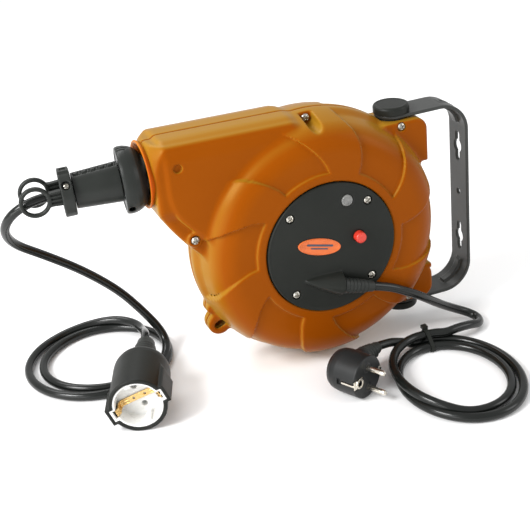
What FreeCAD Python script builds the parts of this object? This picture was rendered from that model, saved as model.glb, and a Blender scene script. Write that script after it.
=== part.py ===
"""Spring-driven extension cord reel on a swivelling wall bracket.

Frame: origin at the middle of the bracket's wall face, +X into the wall, -Y towards the
control cover, +Z up.  Every sub-part is modelled about the drum's axis, which runs along
Y, and its Placement then moves it out from the wall by the sheet's reel_x.
"""
import FreeCAD, Part
import math
import os
import re
import Sketcher
from FreeCAD import Vector

doc = FreeCAD.newDocument("CordReel")

# ------------------------------------------------------------------ driving dimensions, mm
DIMENSIONS = {
    "reel_x": -152.0,          # wall face to drum axis
    "wall": 3.0,               # moulded shell thickness
    "drum_rim": 113.0,         # shell radius at the middle plane
    "drum_edge": 105.0,        # shell radius near each face
    "edge_y": 37.0,            # where that radius is reached
    "face_rim": 97.0,          # radius of the flat face
    "face_y": 45.0,            # middle plane to the shell's flat face
    "cover_rim": 59.0,
    "cover_front": 46.0,
    "cover_back": 42.0,
    "screw_offset": 35.85,     # cover screws, on a square about the axis
    "snout_top": 115.0,
    "snout_end": 146.0,        # drum axis to the snout's end wall
    "snout_half": 30.0,        # half the snout's width
    "outlet_z": 86.5,          # height of the cable's straight run
    "swivel_x": 84.0,
    "ear_right": 109.0,
    "ear_half": 20.0,
    "ear_top": 87.5,
    "ear_screw_z": 83.0,
    "arm_face": 89.0,          # inner face of each bracket arm
    "strap_thick": 3.0,
    "strap_wide": 30.0,
    "keyhole_step": 45.0,
    "axle_rim": 8.0,
    "bush_bore": 8.05,
    "hub_rim": 36.0,
    "flange_rim": 97.0,
    "spool_half": 16.0,
    "cord_dia": 8.0,
    "roller_rim": 6.0,
    "roller_x": 126.0,
    "roller_gap": 10.4,        # cable line to each roller's axis
    "pin_rim": 2.0,
    "ratchet_rim": 80.0,
    "ratchet_root": 74.5,
    "dome_rim": 29.0,
    "dome_face": 164.5,
    "ring_rim": 13.2,
    "ring_bore": 9.0,
    "ring_y": 10.0,
    "coupler_rim": 25.0,
    "plug_rim": 19.0,
    "floor_z": -115.0,         # level that the free cords lie on
}
sheet = doc.addObject("Spreadsheet::Sheet", "Dims")
for row, (alias, value) in enumerate(DIMENSIONS.items(), start=1):
    sheet.set(f"A{row}", alias)
    sheet.set(f"B{row}", str(value))
    sheet.setAlias(f"B{row}", alias)
doc.recompute()


def dim(alias):
    """Value of one driving dimension."""
    return float(sheet.get(alias))


def formula(text):
    """Text such as 'wall + 2' with each alias pointed at the sheet."""
    return re.sub(r"[a-z]\w*", lambda word: "Dims." + word.group(), text)


def value_of(text):
    """Number that a formula of sheet aliases gives, by the sheet's own arithmetic."""
    cell = "D1"
    sheet.set(cell, "=" + text)
    sheet.recompute()
    return float(sheet.get(cell))


# ------------------------------------------------------------------ shared construction
counter = {"n": 0}
DIRECTIONS = {
    "z": FreeCAD.Rotation(),
    "x": FreeCAD.Rotation(Vector(0, 1, 0), 90),
    "-x": FreeCAD.Rotation(Vector(0, 1, 0), -90),
    "y": FreeCAD.Rotation(Vector(1, 0, 0), -90),
    "-y": FreeCAD.Rotation(Vector(1, 0, 0), 90),
}


def unique(kind):
    counter["n"] += 1
    return f"{kind}{counter['n']:03d}"


def bind(thing, **sizes):
    for prop, text in sizes.items():
        thing.setExpression(prop, formula(str(text)))


def locate(thing, at, rotation=None):
    if rotation is not None:
        thing.Placement = FreeCAD.Placement(Vector(), rotation)
    for letter, text in zip("xyz", at):
        thing.setExpression("Placement.Base." + letter, formula(str(text)))
    return thing


def put(thing, base, turn):
    """Fix a thing at a computed place instead of a bound one."""
    for letter in "xyz":
        thing.setExpression("Placement.Base." + letter, None)
    thing.Placement = FreeCAD.Placement(base, turn)
    return thing


def box(size, at, turn=None):
    """Box with its lowest corner at 'at' before any turn about that corner."""
    thing = doc.addObject("Part::Box", unique("Block"))
    bind(thing, Length=size[0], Width=size[1], Height=size[2])
    return locate(thing, at, turn)


def cylinder(radius, length, at, along="z"):
    thing = doc.addObject("Part::Cylinder", unique("Round"))
    bind(thing, Radius=radius, Height=length)
    turn = DIRECTIONS[along] if isinstance(along, str) else along
    return locate(thing, at, turn)


def cone(radius, far_radius, length, at, along="z"):
    thing = doc.addObject("Part::Cone", unique("Taper"))
    bind(thing, Radius1=radius, Radius2=far_radius, Height=length)
    turn = DIRECTIONS[along] if isinstance(along, str) else along
    return locate(thing, at, turn)


def fuse(*things):
    thing = doc.addObject("Part::MultiFuse", unique("Union"))
    thing.Shapes = list(things)
    thing.Refine = True
    return thing


def cut(base, *tools):
    thing = doc.addObject("Part::Cut", unique("Cut"))
    thing.Base = base
    thing.Tool = tools[0] if len(tools) == 1 else fuse(*tools)
    return thing


def common(first, second):
    thing = doc.addObject("Part::Common", unique("Common"))
    thing.Base = first
    thing.Tool = second
    return thing


def rounded(thing, radius, wanted):
    """Fillet the edges of a thing for which wanted(edge) is true."""
    doc.recompute()
    chosen = [n + 1 for n, edge in enumerate(thing.Shape.Edges) if wanted(edge)]
    fillet = doc.addObject("Part::Fillet", unique("Fillet"))
    fillet.Base = thing
    fillet.Edges = [(n, radius, radius) for n in chosen]
    return fillet


def runs_along(axis):
    """Test for straight edges along one axis."""
    def wanted(edge):
        first, last = edge.Vertexes[0].Point, edge.Vertexes[-1].Point
        step = last - first
        other = [abs(getattr(step, a)) for a in "xyz" if a != axis]
        return step.Length > 1e-6 and max(other) < 1e-6
    return wanted


def profile_sketch(body, outline, plane):
    """Closed sketch of straight sides whose corners are bound to the sheet."""
    sketch = body.newObject("Sketcher::SketchObject", unique("Outline"))
    origin = [f for f in body.Origin.OriginFeatures if f.Role == plane][0]
    sketch.AttachmentSupport = [(origin, "")]
    sketch.MapMode = "FlatFace"
    corners = [(value_of(str(u)), value_of(str(v))) for u, v in outline]
    count = len(corners)
    for n in range(count):
        first = Vector(corners[n][0], corners[n][1], 0)
        last = Vector(corners[(n + 1) % count][0], corners[(n + 1) % count][1], 0)
        sketch.addGeometry(Part.LineSegment(first, last), False)
    for n in range(count):
        sketch.addConstraint(Sketcher.Constraint("Coincident", n, 2, (n + 1) % count, 1))
    for n, (u, v) in enumerate(outline):
        for kind, text, number in (("DistanceX", u, corners[n][0]), ("DistanceY", v, corners[n][1])):
            index = sketch.addConstraint(Sketcher.Constraint(kind, -1, 1, n, 1, number))
            sketch.setExpression(f"Constraints[{index}]", formula(str(text)))
    return sketch


def pad(outline, length, plane="XZ_Plane"):
    """Body padded to both sides of its sketch plane."""
    body = doc.addObject("PartDesign::Body", unique("Body"))
    sketch = profile_sketch(body, outline, plane)
    feature = body.newObject("PartDesign::Pad", unique("Pad"))
    feature.Profile = sketch
    feature.Midplane = True
    feature.setExpression("Length", formula(str(length)))
    body.Tip = feature
    return body


def turned(outline, along="z", at=(0, 0, 0)):
    """Body of revolution: outline is (radius, distance along the axis)."""
    body = doc.addObject("PartDesign::Body", unique("Turned"))
    sketch = profile_sketch(body, outline, "XZ_Plane")
    feature = body.newObject("PartDesign::Revolution", unique("Revolution"))
    feature.Profile = sketch
    feature.ReferenceAxis = (sketch, ["V_Axis"])
    feature.Angle = 360.0
    body.Tip = feature
    turn = DIRECTIONS[along] if isinstance(along, str) else along
    return locate(body, at, turn)


def computed(shape):
    """Feature for a shape that no parametric feature makes, such as a routed cord."""
    thing = doc.addObject("Part::Feature", unique("Shape"))
    thing.Shape = shape
    return thing


nodes = []


def node(name, *things):
    """Sub-part: its pieces in one compound, moved out from the wall."""
    thing = doc.addObject("Part::Compound", "Node_" + name)
    thing.Label = name
    thing.Links = list(things)
    thing.setExpression("Placement.Base.x", "Dims.reel_x")
    nodes.append(thing)
    return thing


def cord(route, name):
    """Tube along straight runs joined by the largest arcs that the runs allow."""
    points = [Vector(*p) for p in route]
    radius = dim("cord_dia") / 2
    edges = []
    start = points[0]
    report = []
    for before, corner, after in zip(points, points[1:], points[2:]):
        into, away = corner - before, after - corner
        turn = into.getAngle(away)
        bend = 0.45 * min(into.Length, away.Length) / math.tan(turn / 2)
        reach = bend * math.tan(turn / 2)
        first = corner - into.normalize() * reach
        last = corner + away.normalize() * reach
        inward = (away - into).normalize()
        middle = corner + inward * (bend / math.cos(turn / 2) - bend)
        edges.append(Part.LineSegment(start, first).toShape())
        edges.append(Part.Arc(first, middle, last).toShape())
        start = last
        report.append(round(bend))
    edges.append(Part.LineSegment(start, points[-1]).toShape())
    path = Part.Wire(edges)
    ring = Part.Wire([Part.makeCircle(radius, points[0], points[1] - points[0])])
    tube = path.makePipeShell([ring], True, False)
    ratio = tube.Volume / (math.pi * radius ** 2 * path.Length)
    print(f"{name}: length {path.Length:.0f} mm, radii {report}, volume ratio {ratio:.4f}")
    return computed(tube)


# ------------------------------------------------------------------ bracket
def bracket_strap():
    """Bent steel strap: two arms over and under the reel and a plate on the wall."""
    outer, inner = "arm_face + strap_thick", "arm_face"
    wall_face, bend, start = "0 - reel_x", "24", "swivel_x"
    diagonal = "7.03"
    outline = [
        (start, f"0 - ({outer})"),
        (f"{wall_face} - {bend}", f"0 - ({outer})"),
        (f"{wall_face} - {diagonal}", f"0 - ({outer}) + {diagonal}"),
        (wall_face, f"0 - ({outer}) + {bend}"),
        (wall_face, f"{outer} - {bend}"),
        (f"{wall_face} - {diagonal}", f"{outer} - {diagonal}"),
        (f"{wall_face} - {bend}", outer),
        (start, outer),
        (start, inner),
        (f"{wall_face} - {bend}", inner),
        (f"{wall_face} - {diagonal} - 2.12", f"{outer} - {diagonal} - 2.12"),
        (f"{wall_face} - strap_thick", f"{outer} - {bend}"),
        (f"{wall_face} - strap_thick", f"0 - ({outer}) + {bend}"),
        (f"{wall_face} - {diagonal} - 2.12", f"0 - ({outer}) + {diagonal} + 2.12"),
        (f"{wall_face} - {bend}", f"0 - ({inner})"),
        (start, f"0 - ({inner})"),
    ]
    strap = pad(outline, "strap_wide")
    tips = [
        cylinder("strap_wide / 2", "strap_thick", ("swivel_x", 0, "arm_face")),
        cylinder("strap_wide / 2", "strap_thick", ("swivel_x", 0, "0 - arm_face - strap_thick")),
    ]
    ribs = []
    for sign in (1, -1):
        corner = [
            ("0 - reel_x - 24", f"{sign} * (arm_face + 1)"),
            ("0 - reel_x - 7.5", f"{sign} * (arm_face - 5)"),
            ("0 - reel_x - 2", f"{sign} * (arm_face - 21)"),
            ("0 - reel_x - 5", f"{sign} * (arm_face - 21)"),
            ("0 - reel_x - 24", f"{sign} * (arm_face - 2)"),
        ]
        ribs.append(pad(corner, 6))
    body = fuse(strap, *tips, *ribs)
    hole_x = "0 - reel_x - strap_thick - 1"
    holes = [cylinder(2.75, "strap_thick + 2", (hole_x, 0, 0), "x")]
    for sign in (1, -1):
        middle = f"{sign} * keyhole_step"
        holes.append(cylinder(6, "strap_thick + 2", (hole_x, 0, middle), "x"))
        holes.append(box(("strap_thick + 2", 6, 22), (hole_x, -3, f"{middle} - 11")))
        for end in (1, -1):
            holes.append(cylinder(3, "strap_thick + 2", (hole_x, 0, f"{middle} + {end * 11}"), "x"))
    holes.append(cylinder(5.06, "2 * arm_face + 10", ("swivel_x", 0, "0 - arm_face - 5")))
    node("bracket_strap", cut(body, *holes))


def pivot_parts():
    """Bolts fixed in the housing's ears, nylon washers and the caps over the arms."""
    bolts, washers, caps = [], [], []
    for sign, along in ((1, "z"), (-1, FreeCAD.Rotation(Vector(1, 0, 0), 180))):
        bolt = cylinder(5, 22, ("swivel_x", 0, f"{sign} * 76"), along)
        bolts.append(cut(bolt, cylinder(1.9, 14, ("swivel_x", -7, f"{sign} * ear_screw_z"), "y")))
        ring = [(5.2, "ear_top + 0.1"), (14, "ear_top + 0.1"), (14, "arm_face - 0.1"), (5.2, "arm_face - 0.1")]
        washers.append(turned(ring, along, ("swivel_x", 0, 0)))
        hat = [
            (0, "arm_face + strap_thick + 9"),
            (14, "arm_face + strap_thick + 9"),
            (16, "arm_face + strap_thick + 7.2"),
            (16, "arm_face + strap_thick + 0.1"),
            (5.0, "arm_face + strap_thick + 0.1"),
            (5.0, "98"),
            (0, "98"),
        ]
        caps.append(turned(hat, along, ("swivel_x", 0, 0)))
    node("pivot_bolts", *bolts)
    node("pivot_washers", *washers)
    node("pivot_caps", *caps)


# ------------------------------------------------------------------ housing
def drum_form(inset):
    """Solid of revolution of the housing's drum, inset by a wall thickness."""
    less = f"{inset}"
    side = [
        (0, f"0 - face_y + {less}"),
        (f"face_rim - {less}", f"0 - face_y + {less}"),
        (f"face_rim + 5.5 - {less}", f"0 - edge_y - 4.5 + {less} * 0.7"),
        (f"drum_edge - {less}", "0 - edge_y + 1"),
        (f"drum_edge + 6 - {less}", "0 - edge_y / 2"),
        (f"drum_rim - {less}", 0),
        (f"drum_edge + 6 - {less}", "edge_y / 2"),
        (f"drum_edge - {less}", "edge_y - 1"),
        (f"face_rim + 5.5 - {less}", f"edge_y + 4.5 - {less} * 0.7"),
        (f"face_rim - {less}", f"face_y - {less}"),
        (0, f"face_y - {less}"),
    ]
    return turned(side, "y")


def snout_form(inset):
    """Hollow-to-be neck that leads the cable out at the side."""
    less = str(inset)
    outline = [
        (-20, f"snout_top - {less}"),
        (f"0 - snout_end + 5 + {less}", f"snout_top + 1 - {less}"),
        (f"0 - snout_end + {less}", f"snout_top - 4 - {less}"),
        (f"0 - snout_end + {less}", 58),
        (f"-133 + {less}", f"40 + {less} * 0.5"),
        (f"-113 + {less}", f"12 + {less} * 0.5"),
        (f"-100 + {less}", f"4 + {less} * 0.5"),
        (-20, 4),
    ]
    plain = pad(outline, f"2 * snout_half - 2 * {less}")
    edge = 9 - inset
    return rounded(plain, edge, lambda e: abs(e.Vertexes[0].Y) > 20 and abs(e.Vertexes[-1].Y) > 20
                   and max(v.X for v in e.Vertexes) > -143 and min(v.Z for v in e.Vertexes) > 100)


SHELL_SCREWS = [               # x, y of the face that each head is let into, z, length of the shank
    ("swivel_x", "0 - ear_half", "ear_screw_z", 27),
    ("swivel_x", "0 - ear_half", "0 - ear_screw_z", 27),
    (-1, -9, 107.5, 18),
    (-114, "0 - snout_half", 29.5, 36),
]


def shells():
    """Front and rear moulded shells, split at the middle plane."""
    ears = []
    for low, tall in ((42, "ear_top - 42"), ("0 - ear_top", "ear_top - 55")):
        block = box(("ear_right - 60", "2 * ear_half", tall), (60, "0 - ear_half", low))
        ears.append(rounded(block, 12, lambda e: runs_along("y")(e) and e.Vertexes[0].X > 100
                            and abs(e.Vertexes[0].Z) > 80))
    lug = cylinder(10, 16, (-95.8, -8, -65.4), "y")
    web = pad([(-84, -76), (-97, -75.4), (-105.6, -63), (-101, -47), (-84, -50)], 16)
    outer = fuse(drum_form(0), snout_form(0), *ears, lug, web)
    inner = fuse(drum_form(3), snout_form(3))
    bosses = [cylinder(6.5, 50, (-114, -28, 29.5), "y")]
    bosses.append(common(cylinder(9.5, 54, (-1, -43, 107.5), "y"), drum_form(0)))
    seat = turned([(44, "0 - cover_back"), (44, "3 - cover_back"), ("cover_rim + 6", "3 - cover_back"),
                   ("cover_rim + 6", "0 - cover_back")], "y")
    hollow = fuse(cut(outer, inner), seat, *bosses)
    openings = [
        cylinder("cover_rim + 0.4", 10, (0, "0 - cover_back - 10", 0), "y"),
        cylinder(44, 10, (0, "0 - cover_back - 2", 0), "y"),
        cylinder(3.8, 1.8, (-121.4, "0 - snout_half", 96), "y"),
        cylinder(5.5, 8, (16.4, "0 - cover_back - 2", 40.7), "y"),
        cylinder(6.5, 40, (-1, -49, 107.5), "y"),
        box((13, 40, 10), (-7.5, -49, 107.5)),
        cylinder(24, 10, ("0 - snout_end - 3", 0, "outlet_z"), "x"),
        cylinder(4.5, 30, (-95.8, -15, -65.4), "y"),
        cylinder(5.05, 40, ("swivel_x", 0, 75.9)),
        cylinder(5.05, 40, ("swivel_x", 0, -115.9)),
        cylinder("strap_wide / 2 + 1", 20, ("swivel_x", 0, "ear_top + 0.05")),
        cylinder("strap_wide / 2 + 1", 20, ("swivel_x", 0, "0 - ear_top - 20.05")),
    ]
    for x in (1, -1):
        for z in (1, -1):
            openings.append(cylinder(1.8, 12, (f"{x} * screw_offset", "0 - cover_front", f"{z} * screw_offset"), "y"))
    for x, y, z, long in SHELL_SCREWS:
        openings.append(cylinder(4, 21, (x, f"{y} - 18", z), "y"))
        openings.append(cylinder(1.8, long + 3, (x, f"{y} + 1", z), "y"))
    whole = cut(hollow, *openings)
    half = dim("drum_rim") * 4
    front = box((half, 100, half), (-half / 2, -100, -half / 2))
    rear = box((half, 100, half), (-half / 2, 0, -half / 2))
    node("front_shell", common(whole, front))
    node("rear_shell", common(whole, rear))
    screws = []
    for x, y, z, long in SHELL_SCREWS:
        shank = cylinder(1.75, long, (x, f"{y} + 3", z), "y")
        head = cylinder(3.6, 2.2, (x, f"{y} + 0.8", z), "y")
        slots = [box((5, 1, 0.9), (f"{x} - 2.5", f"{y} + 0.3", f"{z} - 0.45")),
                 box((0.9, 1, 5), (f"{x} - 0.45", f"{y} + 0.3", f"{z} - 2.5"))]
        screws.append(cut(fuse(shank, head), *slots))
    node("shell_screws", *screws)


def outlet_ring():
    """Round mouth in the snout's end wall, flared to seat the cable stop."""
    ring = [(24, -3), (24, 0), (28.5, 0), (28.5, 4), (27.3, 6), (26.2, 6), (20, -3)]
    node("outlet_ring", turned(ring, "-x", ("0 - snout_end", 0, "outlet_z")))


def front_cover():
    """Round black cover with the lead's gland boss and its screws."""
    disc = cylinder("cover_rim", "cover_front - cover_back", (0, "0 - cover_front", 0), "y")
    slope = FreeCAD.Rotation(Vector(0, 1, 0), 17)
    nose = cone(11, 10.5, 15.5, (-13.6, "2 - cover_front", -29), "-y")
    neck = box((21.4, 16, 20.6), (-19.6, "0 - cover_front - 14", -37.1), slope)
    body = fuse(disc, nose, rounded(neck, 3, runs_along("y")))
    holes = [
        cylinder(5.05, 8, (25.5, "0 - cover_front - 1", 5), "y"),
        cylinder(5.2, 8, (16.4, "0 - cover_front - 1", 40.7), "y"),
        cylinder(4.2, 24, (-15, "0 - cover_front - 7.2", -28.1), FreeCAD.Rotation(Vector(0, 1, 0), 107)),
    ]
    screws = []
    for x in (1, -1):
        for z in (1, -1):
            place = (f"{x} * screw_offset", "0 - cover_front", f"{z} * screw_offset")
            holes.append(cylinder(4.2, 2.4, place, "y"))
            holes.append(cylinder(1.8, 12, place, "y"))
            head = cylinder(3.4, 1.8, (place[0], f"{place[1]} + 0.6", place[2]), "y")
            shank = cylinder(1.7, 7, (place[0], f"{place[1]} + 2", place[2]), "y")
            slots = [box((4.6, 0.8, 0.9), (f"{place[0]} - 2.3", f"{place[1]} + 0.5", f"{place[2]} - 0.45")),
                     box((0.9, 0.8, 4.6), (f"{place[0]} - 0.45", f"{place[1]} + 0.5", f"{place[2]} - 2.3"))]
            screws.append(cut(fuse(head, shank), *slots))
    seat_holes = cut(body, *holes)
    node("front_cover", seat_holes)
    node("cover_screws", *screws)


def cover_fittings():
    """Lens, badge, breaker with its lamp, terminal block and gland relief."""
    lens = [(0, 0), (5.1, 0), (5.1, -4.2), (3.4, -5.6), (0, -6)]
    node("indicator_lens", turned(lens, "y", (16.4, "0 - cover_back + 0.4", 40.7)))
    plate = doc.addObject("Part::Ellipse", unique("Oval"))
    plate.MajorRadius = 20
    plate.MinorRadius = 7.6
    face = doc.addObject("Part::Extrusion", unique("Plate"))
    face.Base = plate
    face.Dir = Vector(0, 0, 1)
    face.LengthFwd = 1.0
    face.Solid = True
    upright = FreeCAD.Rotation(Vector(0, 1, 0), 14.8).multiply(FreeCAD.Rotation(Vector(1, 0, 0), 90))
    locate(face, (-11.8, "0 - cover_front", 4.5), upright)
    node("badge", face)
    breaker = box((13, 16, 15), (19, "5 - cover_back", -2.5))
    node("thermal_breaker", cut(breaker, cylinder(3.2, 4, (25.5, "4 - cover_back", 5), "y")))
    node("pilot_lamp", cylinder(3, 10, (16.4, "1 - cover_back", 40.7), "y"))
    node("terminal_block", box((26, 13, 12), (-34, "4 - cover_back", -46)))
    slope = FreeCAD.Rotation(Vector(0, 1, 0), 107)
    sleeve = []
    for n in range(5):
        reach = 4.2 * n
        sleeve.append((7 - 0.3 * n, reach))
        sleeve.append((7 - 0.3 * n, reach + 2.8))
        sleeve.append((6.2 - 0.3 * n, reach + 2.8))
        sleeve.append((6.2 - 0.3 * n, reach + 4.2))
    sleeve += [(5.2, 23), (4.6, 30), (0, 30), (0, 0)]
    node("strain_relief", turned(sleeve, slope, (4.2, "0 - cover_front - 7.2", -33.97)))


def axle_and_contacts():
    """Fixed axle on the rear shell, brush holder and carbon brushes."""
    shaft = [(0, -40), ("axle_rim", -40), ("axle_rim", 38), (18, 38), (18, "face_y - wall"),
             (0, "face_y - wall")]
    node("axle", turned(shaft, "y"))
    holder = box((10, 17, 12), (-5, -38, -38))
    slots = [box((4, 3.2, 20), (-2, y - 0.1, -37)) for y in (-36, -31, -26)]
    node("brush_holder", cut(holder, *slots))
    node("brushes", *[box((4, 3, 15), (-2, y, -30.9)) for y in (-36, -31, -26)])


def guide_rollers():
    """Frame with two pins at the mouth and the rollers that run on them."""
    cheeks = []
    for y in (-27, 16):
        cheek = box((20, 11, 38), ("0 - roller_x - 10", y, "outlet_z - 19"))
        pins = [cylinder("pin_rim", 13, ("0 - roller_x", y - 1, f"outlet_z + {s} * roller_gap"), "y")
                for s in (1, -1)]
        cheeks.append(cut(cheek, *pins))
    node("roller_frame", *cheeks)
    node("roller_pins", *[cylinder("pin_rim", 54, ("0 - roller_x", -27, f"outlet_z + {s} * roller_gap"), "y")
                          for s in (1, -1)])
    for name, sign in (("guide_roller_upper", 1), ("guide_roller_lower", -1)):
        tube = [("pin_rim + 0.06", -15.5), ("roller_rim + 1.5", -15.5), ("roller_rim + 1.5", -13),
                ("roller_rim", -10), ("roller_rim", 10), ("roller_rim + 1.5", 13),
                ("roller_rim + 1.5", 15.5), ("pin_rim + 0.06", 15.5)]
        node(name, turned(tube, "y", ("0 - roller_x", 0, f"outlet_z + {sign} * roller_gap")))


# ------------------------------------------------------------------ drum, inside the housing
def drum_parts():
    """Spool, cable wound on it, slip rings, spring case and ratchet."""
    spool = [
        (12, -14), (16, -14), (16, -2), (32, -2), (32, "0 - spool_half"), ("flange_rim", "0 - spool_half"),
        ("flange_rim", "2 - spool_half"), ("hub_rim", "2 - spool_half"), ("hub_rim", "spool_half - 2"),
        ("flange_rim", "spool_half - 2"), ("flange_rim", "spool_half"), (32, "spool_half"), (32, 2),
        (16, 2), (16, 14), (12, 14),
    ]
    node("drum_spool", turned(spool, "y"))
    bushes = []
    for low in (-14, 4):
        ring = [("bush_bore", low), (12, low), (12, low + 10), ("bush_bore", low + 10)]
        bushes.append(turned(ring, "y"))
    node("drum_bushes", *bushes)
    mass = [("hub_rim + 0.2", "2.2 - spool_half"), ("outlet_z - 4.8", "2.2 - spool_half"),
            ("outlet_z - 4.8", "spool_half - 2.2"), ("hub_rim + 0.2", "spool_half - 2.2")]
    node("wound_cable", turned(mass, "y"))
    carrier = [("bush_bore + 0.3", -39), (12.5, -39), (12.5, -22), (34, -18), (34, "0 - spool_half"),
               (12, "0 - spool_half"), (12, -14), ("bush_bore + 0.3", -14)]
    node("slip_ring_carrier", turned(carrier, "y"))
    rings = []
    for low in (-36, -31, -26):
        rings.append(turned([(12.5, low), (15.5, low), (15.5, low + 3), (12.5, low + 3)], "y"))
    node("slip_rings", *rings)
    case = [(30, "spool_half"), (55, "spool_half"), (55, 38), (52, 38), (52, "spool_half + 2"),
            (30, "spool_half + 2")]
    node("spring_case", turned(case, "y"))
    lid = [(19, 38), (55, 38), (55, 40), (19, 40)]
    node("spring_cover", turned(lid, "y"))
    ring = [(56, "spool_half"), ("ratchet_rim", "spool_half"), ("ratchet_rim", "spool_half + 4"),
            (56, "spool_half + 4")]
    blank = turned(ring, "y")
    notches = []
    for n in range(12):
        turn = FreeCAD.Rotation(Vector(0, 1, 0), -30 * n - NOTCH_ANGLE)
        corner = turn.multVec(Vector(dim("ratchet_root"), 15, -5))
        notches.append(put(box((10, 6, 10), (0, 0, 0)), corner, turn))
    node("ratchet_ring", cut(blank, *notches))
    node("mainspring", computed(spiral_strip()))


PAWL_ANGLE = -60.0             # where the pawl's pin stands, degrees from +X about the drum axis
PAWL_PIN_RADIUS = 91.0
PAWL_TIP = 22.5                # pawl pin to tooth
NOTCH_ANGLE = PAWL_ANGLE + 13.9


def spiral_strip():
    """Mainspring: a strip of half turns from the axle to the case wall."""
    thick, wide, pitch, turns = 0.9, 19.0, 6.6, 6
    outside, inside = [], []
    radius, side = 9.2, 1
    centre = 0.0
    for n in range(2 * turns):
        for edge_list, offset in ((outside, thick), (inside, 0.0)):
            r = radius + offset
            start = Vector(centre - side * r, 0, 0)
            top = Vector(centre, 0, side * r)
            end = Vector(centre + side * r, 0, 0)
            edge_list.append(Part.Arc(start, top, end).toShape())
        centre += side * -pitch / 4
        radius += pitch / 4
        side = -side
    first = Part.LineSegment(inside[0].Vertexes[0].Point, outside[0].Vertexes[0].Point).toShape()
    last = Part.LineSegment(inside[-1].Vertexes[-1].Point, outside[-1].Vertexes[-1].Point).toShape()
    wire = Part.Wire(Part.__sortEdges__(outside + inside + [first, last]))
    face = Part.Face(wire)
    strip = face.extrude(Vector(0, wide, 0))
    strip.translate(Vector(0, dim("spool_half") + 2.4, 0))
    return strip


def pawl_parts():
    """Ratchet pawl on a pin in the rear shell, held off the ring by a leaf spring."""
    angle = math.radians(PAWL_ANGLE)
    out = Vector(math.cos(angle), 0, math.sin(angle))
    round_way = Vector(-math.sin(angle), 0, math.cos(angle))
    pin = out * PAWL_PIN_RADIUS
    tip = pin + round_way * PAWL_TIP - out * 3.5
    turn = FreeCAD.Rotation(Vector(0, 1, 0), -PAWL_ANGLE)
    node("pawl_pin", cylinder("pin_rim", 25.6, (pin.x, 16.4, pin.z), "y"))
    hub = cylinder(5, 3.4, (pin.x, "spool_half + 0.4", pin.z), "y")
    level = Vector(0, dim("spool_half") + 0.4, 0)
    arm = put(box((5, 3.4, PAWL_TIP), (0, 0, 0)), pin - out * 3.5 + level, turn)
    tooth = put(box((9, 3.4, 5), (0, 0, 0)), tip - out * 6 - round_way * 2.5 + level, turn)
    bore = cylinder("pin_rim + 0.05", 8, (pin.x, 14, pin.z), "y")
    node("pawl", cut(fuse(hub, arm, tooth), bore))
    leaf = put(box((0.8, 3, 20), (0, 0, 0)), pin + out * 5.6 + round_way + level, turn)
    node("pawl_spring", leaf)


# ------------------------------------------------------------------ reset button
def reset_button():
    cap = [(0, -52), (4.2, -52), (5, -51.2), (5, -39), (3, -39), (3, -38.4), (0, -38.4)]
    node("reset_button", turned(cap, "y", (25.5, 0, 5)))


# ------------------------------------------------------------------ cable stop, outside the mouth
def cable_stop():
    """Domed stop clamped on the cable: barrel halves, collar and two finger rings."""
    dome = [(4.2, 0), ("dome_rim", 0), ("dome_rim", 4.5), (27.5, 9), (25, 12.8), (21, 16.6), (15.5, 20),
            (9, 22.4), (4.2, 23.2)]
    body = turned(dome, "x", ("0 - dome_face", 0, "outlet_z"))
    node("stop_dome", cut(body, cylinder(2.6, 30, (-160.5, -40, "outlet_z - 20.5"), "y")))
    half = dim("dome_rim") * 2
    for name, low in (("stop_barrel_front", -half), ("stop_barrel_rear", 0)):
        barrel = [(4.2, 0), (17, 0), (15, 38.5), (4.2, 38.5)]
        solid = turned(barrel, "-x", ("0 - dome_face", 0, "outlet_z"))
        keep = box((half, half, 2 * half), ("0 - dome_face - 50", low, 20))
        piece = common(solid, keep)
        if low < 0:
            teeth = []
            for n in range(5):
                tall = 17.6 - 2 * (n * 7 + 5) / 38.5
                teeth.append(box((4, 3, 2), (f"0 - dome_face - {n * 7 + 7}", -3, f"outlet_z + {tall - 2:.2f}")))
            piece = fuse(piece, *teeth)
        node(name, piece)
    start = "0 - dome_face - 38.5"
    collar = turned([(4.2, 0), (20.5, 0), (20.5, 9.5), (4.2, 9.5)], "-x", (start, 0, "outlet_z"))
    seats = [cylinder(4, 6, (f"{start} - 5", -22, "outlet_z + 8"), "y"),
             cylinder(1.8, 12, (f"{start} - 5", -17, "outlet_z + 8"), "y")]
    node("stop_collar", cut(collar, *seats))
    head = cylinder(3.5, 2.2, (f"{start} - 5", -18.2, "outlet_z + 8"), "y")
    shank = cylinder(1.7, 9, (f"{start} - 5", -16, "outlet_z + 8"), "y")
    slots = [box((4.6, 1, 0.9), (f"{start} - 7.3", -18.4, "outlet_z + 7.55")),
             box((0.9, 1, 4.6), (f"{start} - 5.45", -18.4, "outlet_z + 5.7"))]
    node("stop_screw", cut(fuse(head, shank), *slots))
    for name, side in (("eyelet_front", -1), ("eyelet_rear", 1)):
        centre = (f"{start} - 32", f"{side} * ring_y - 2.5", "outlet_z + 1")
        ring = cylinder("ring_rim", 5, centre, "y")
        stem = box((14, 5, 11), (f"{start} - 23.5", f"{side} * ring_y - 2.5", "outlet_z - 4.5"))
        ribs = [box((2, 7, 12), (f"{start} - {12.5 + 4 * n}", f"{side} * ring_y - 3.5", "outlet_z - 5"))
                for n in range(2)]
        hole = cylinder("ring_bore", 8, (centre[0], f"{side} * ring_y - 4", centre[2]), "y")
        node(name, cut(fuse(ring, stem, *ribs), hole))
    node("cable_run", cylinder("cord_dia / 2", 218.5, (6, 0, "outlet_z"), "-x"))


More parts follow.
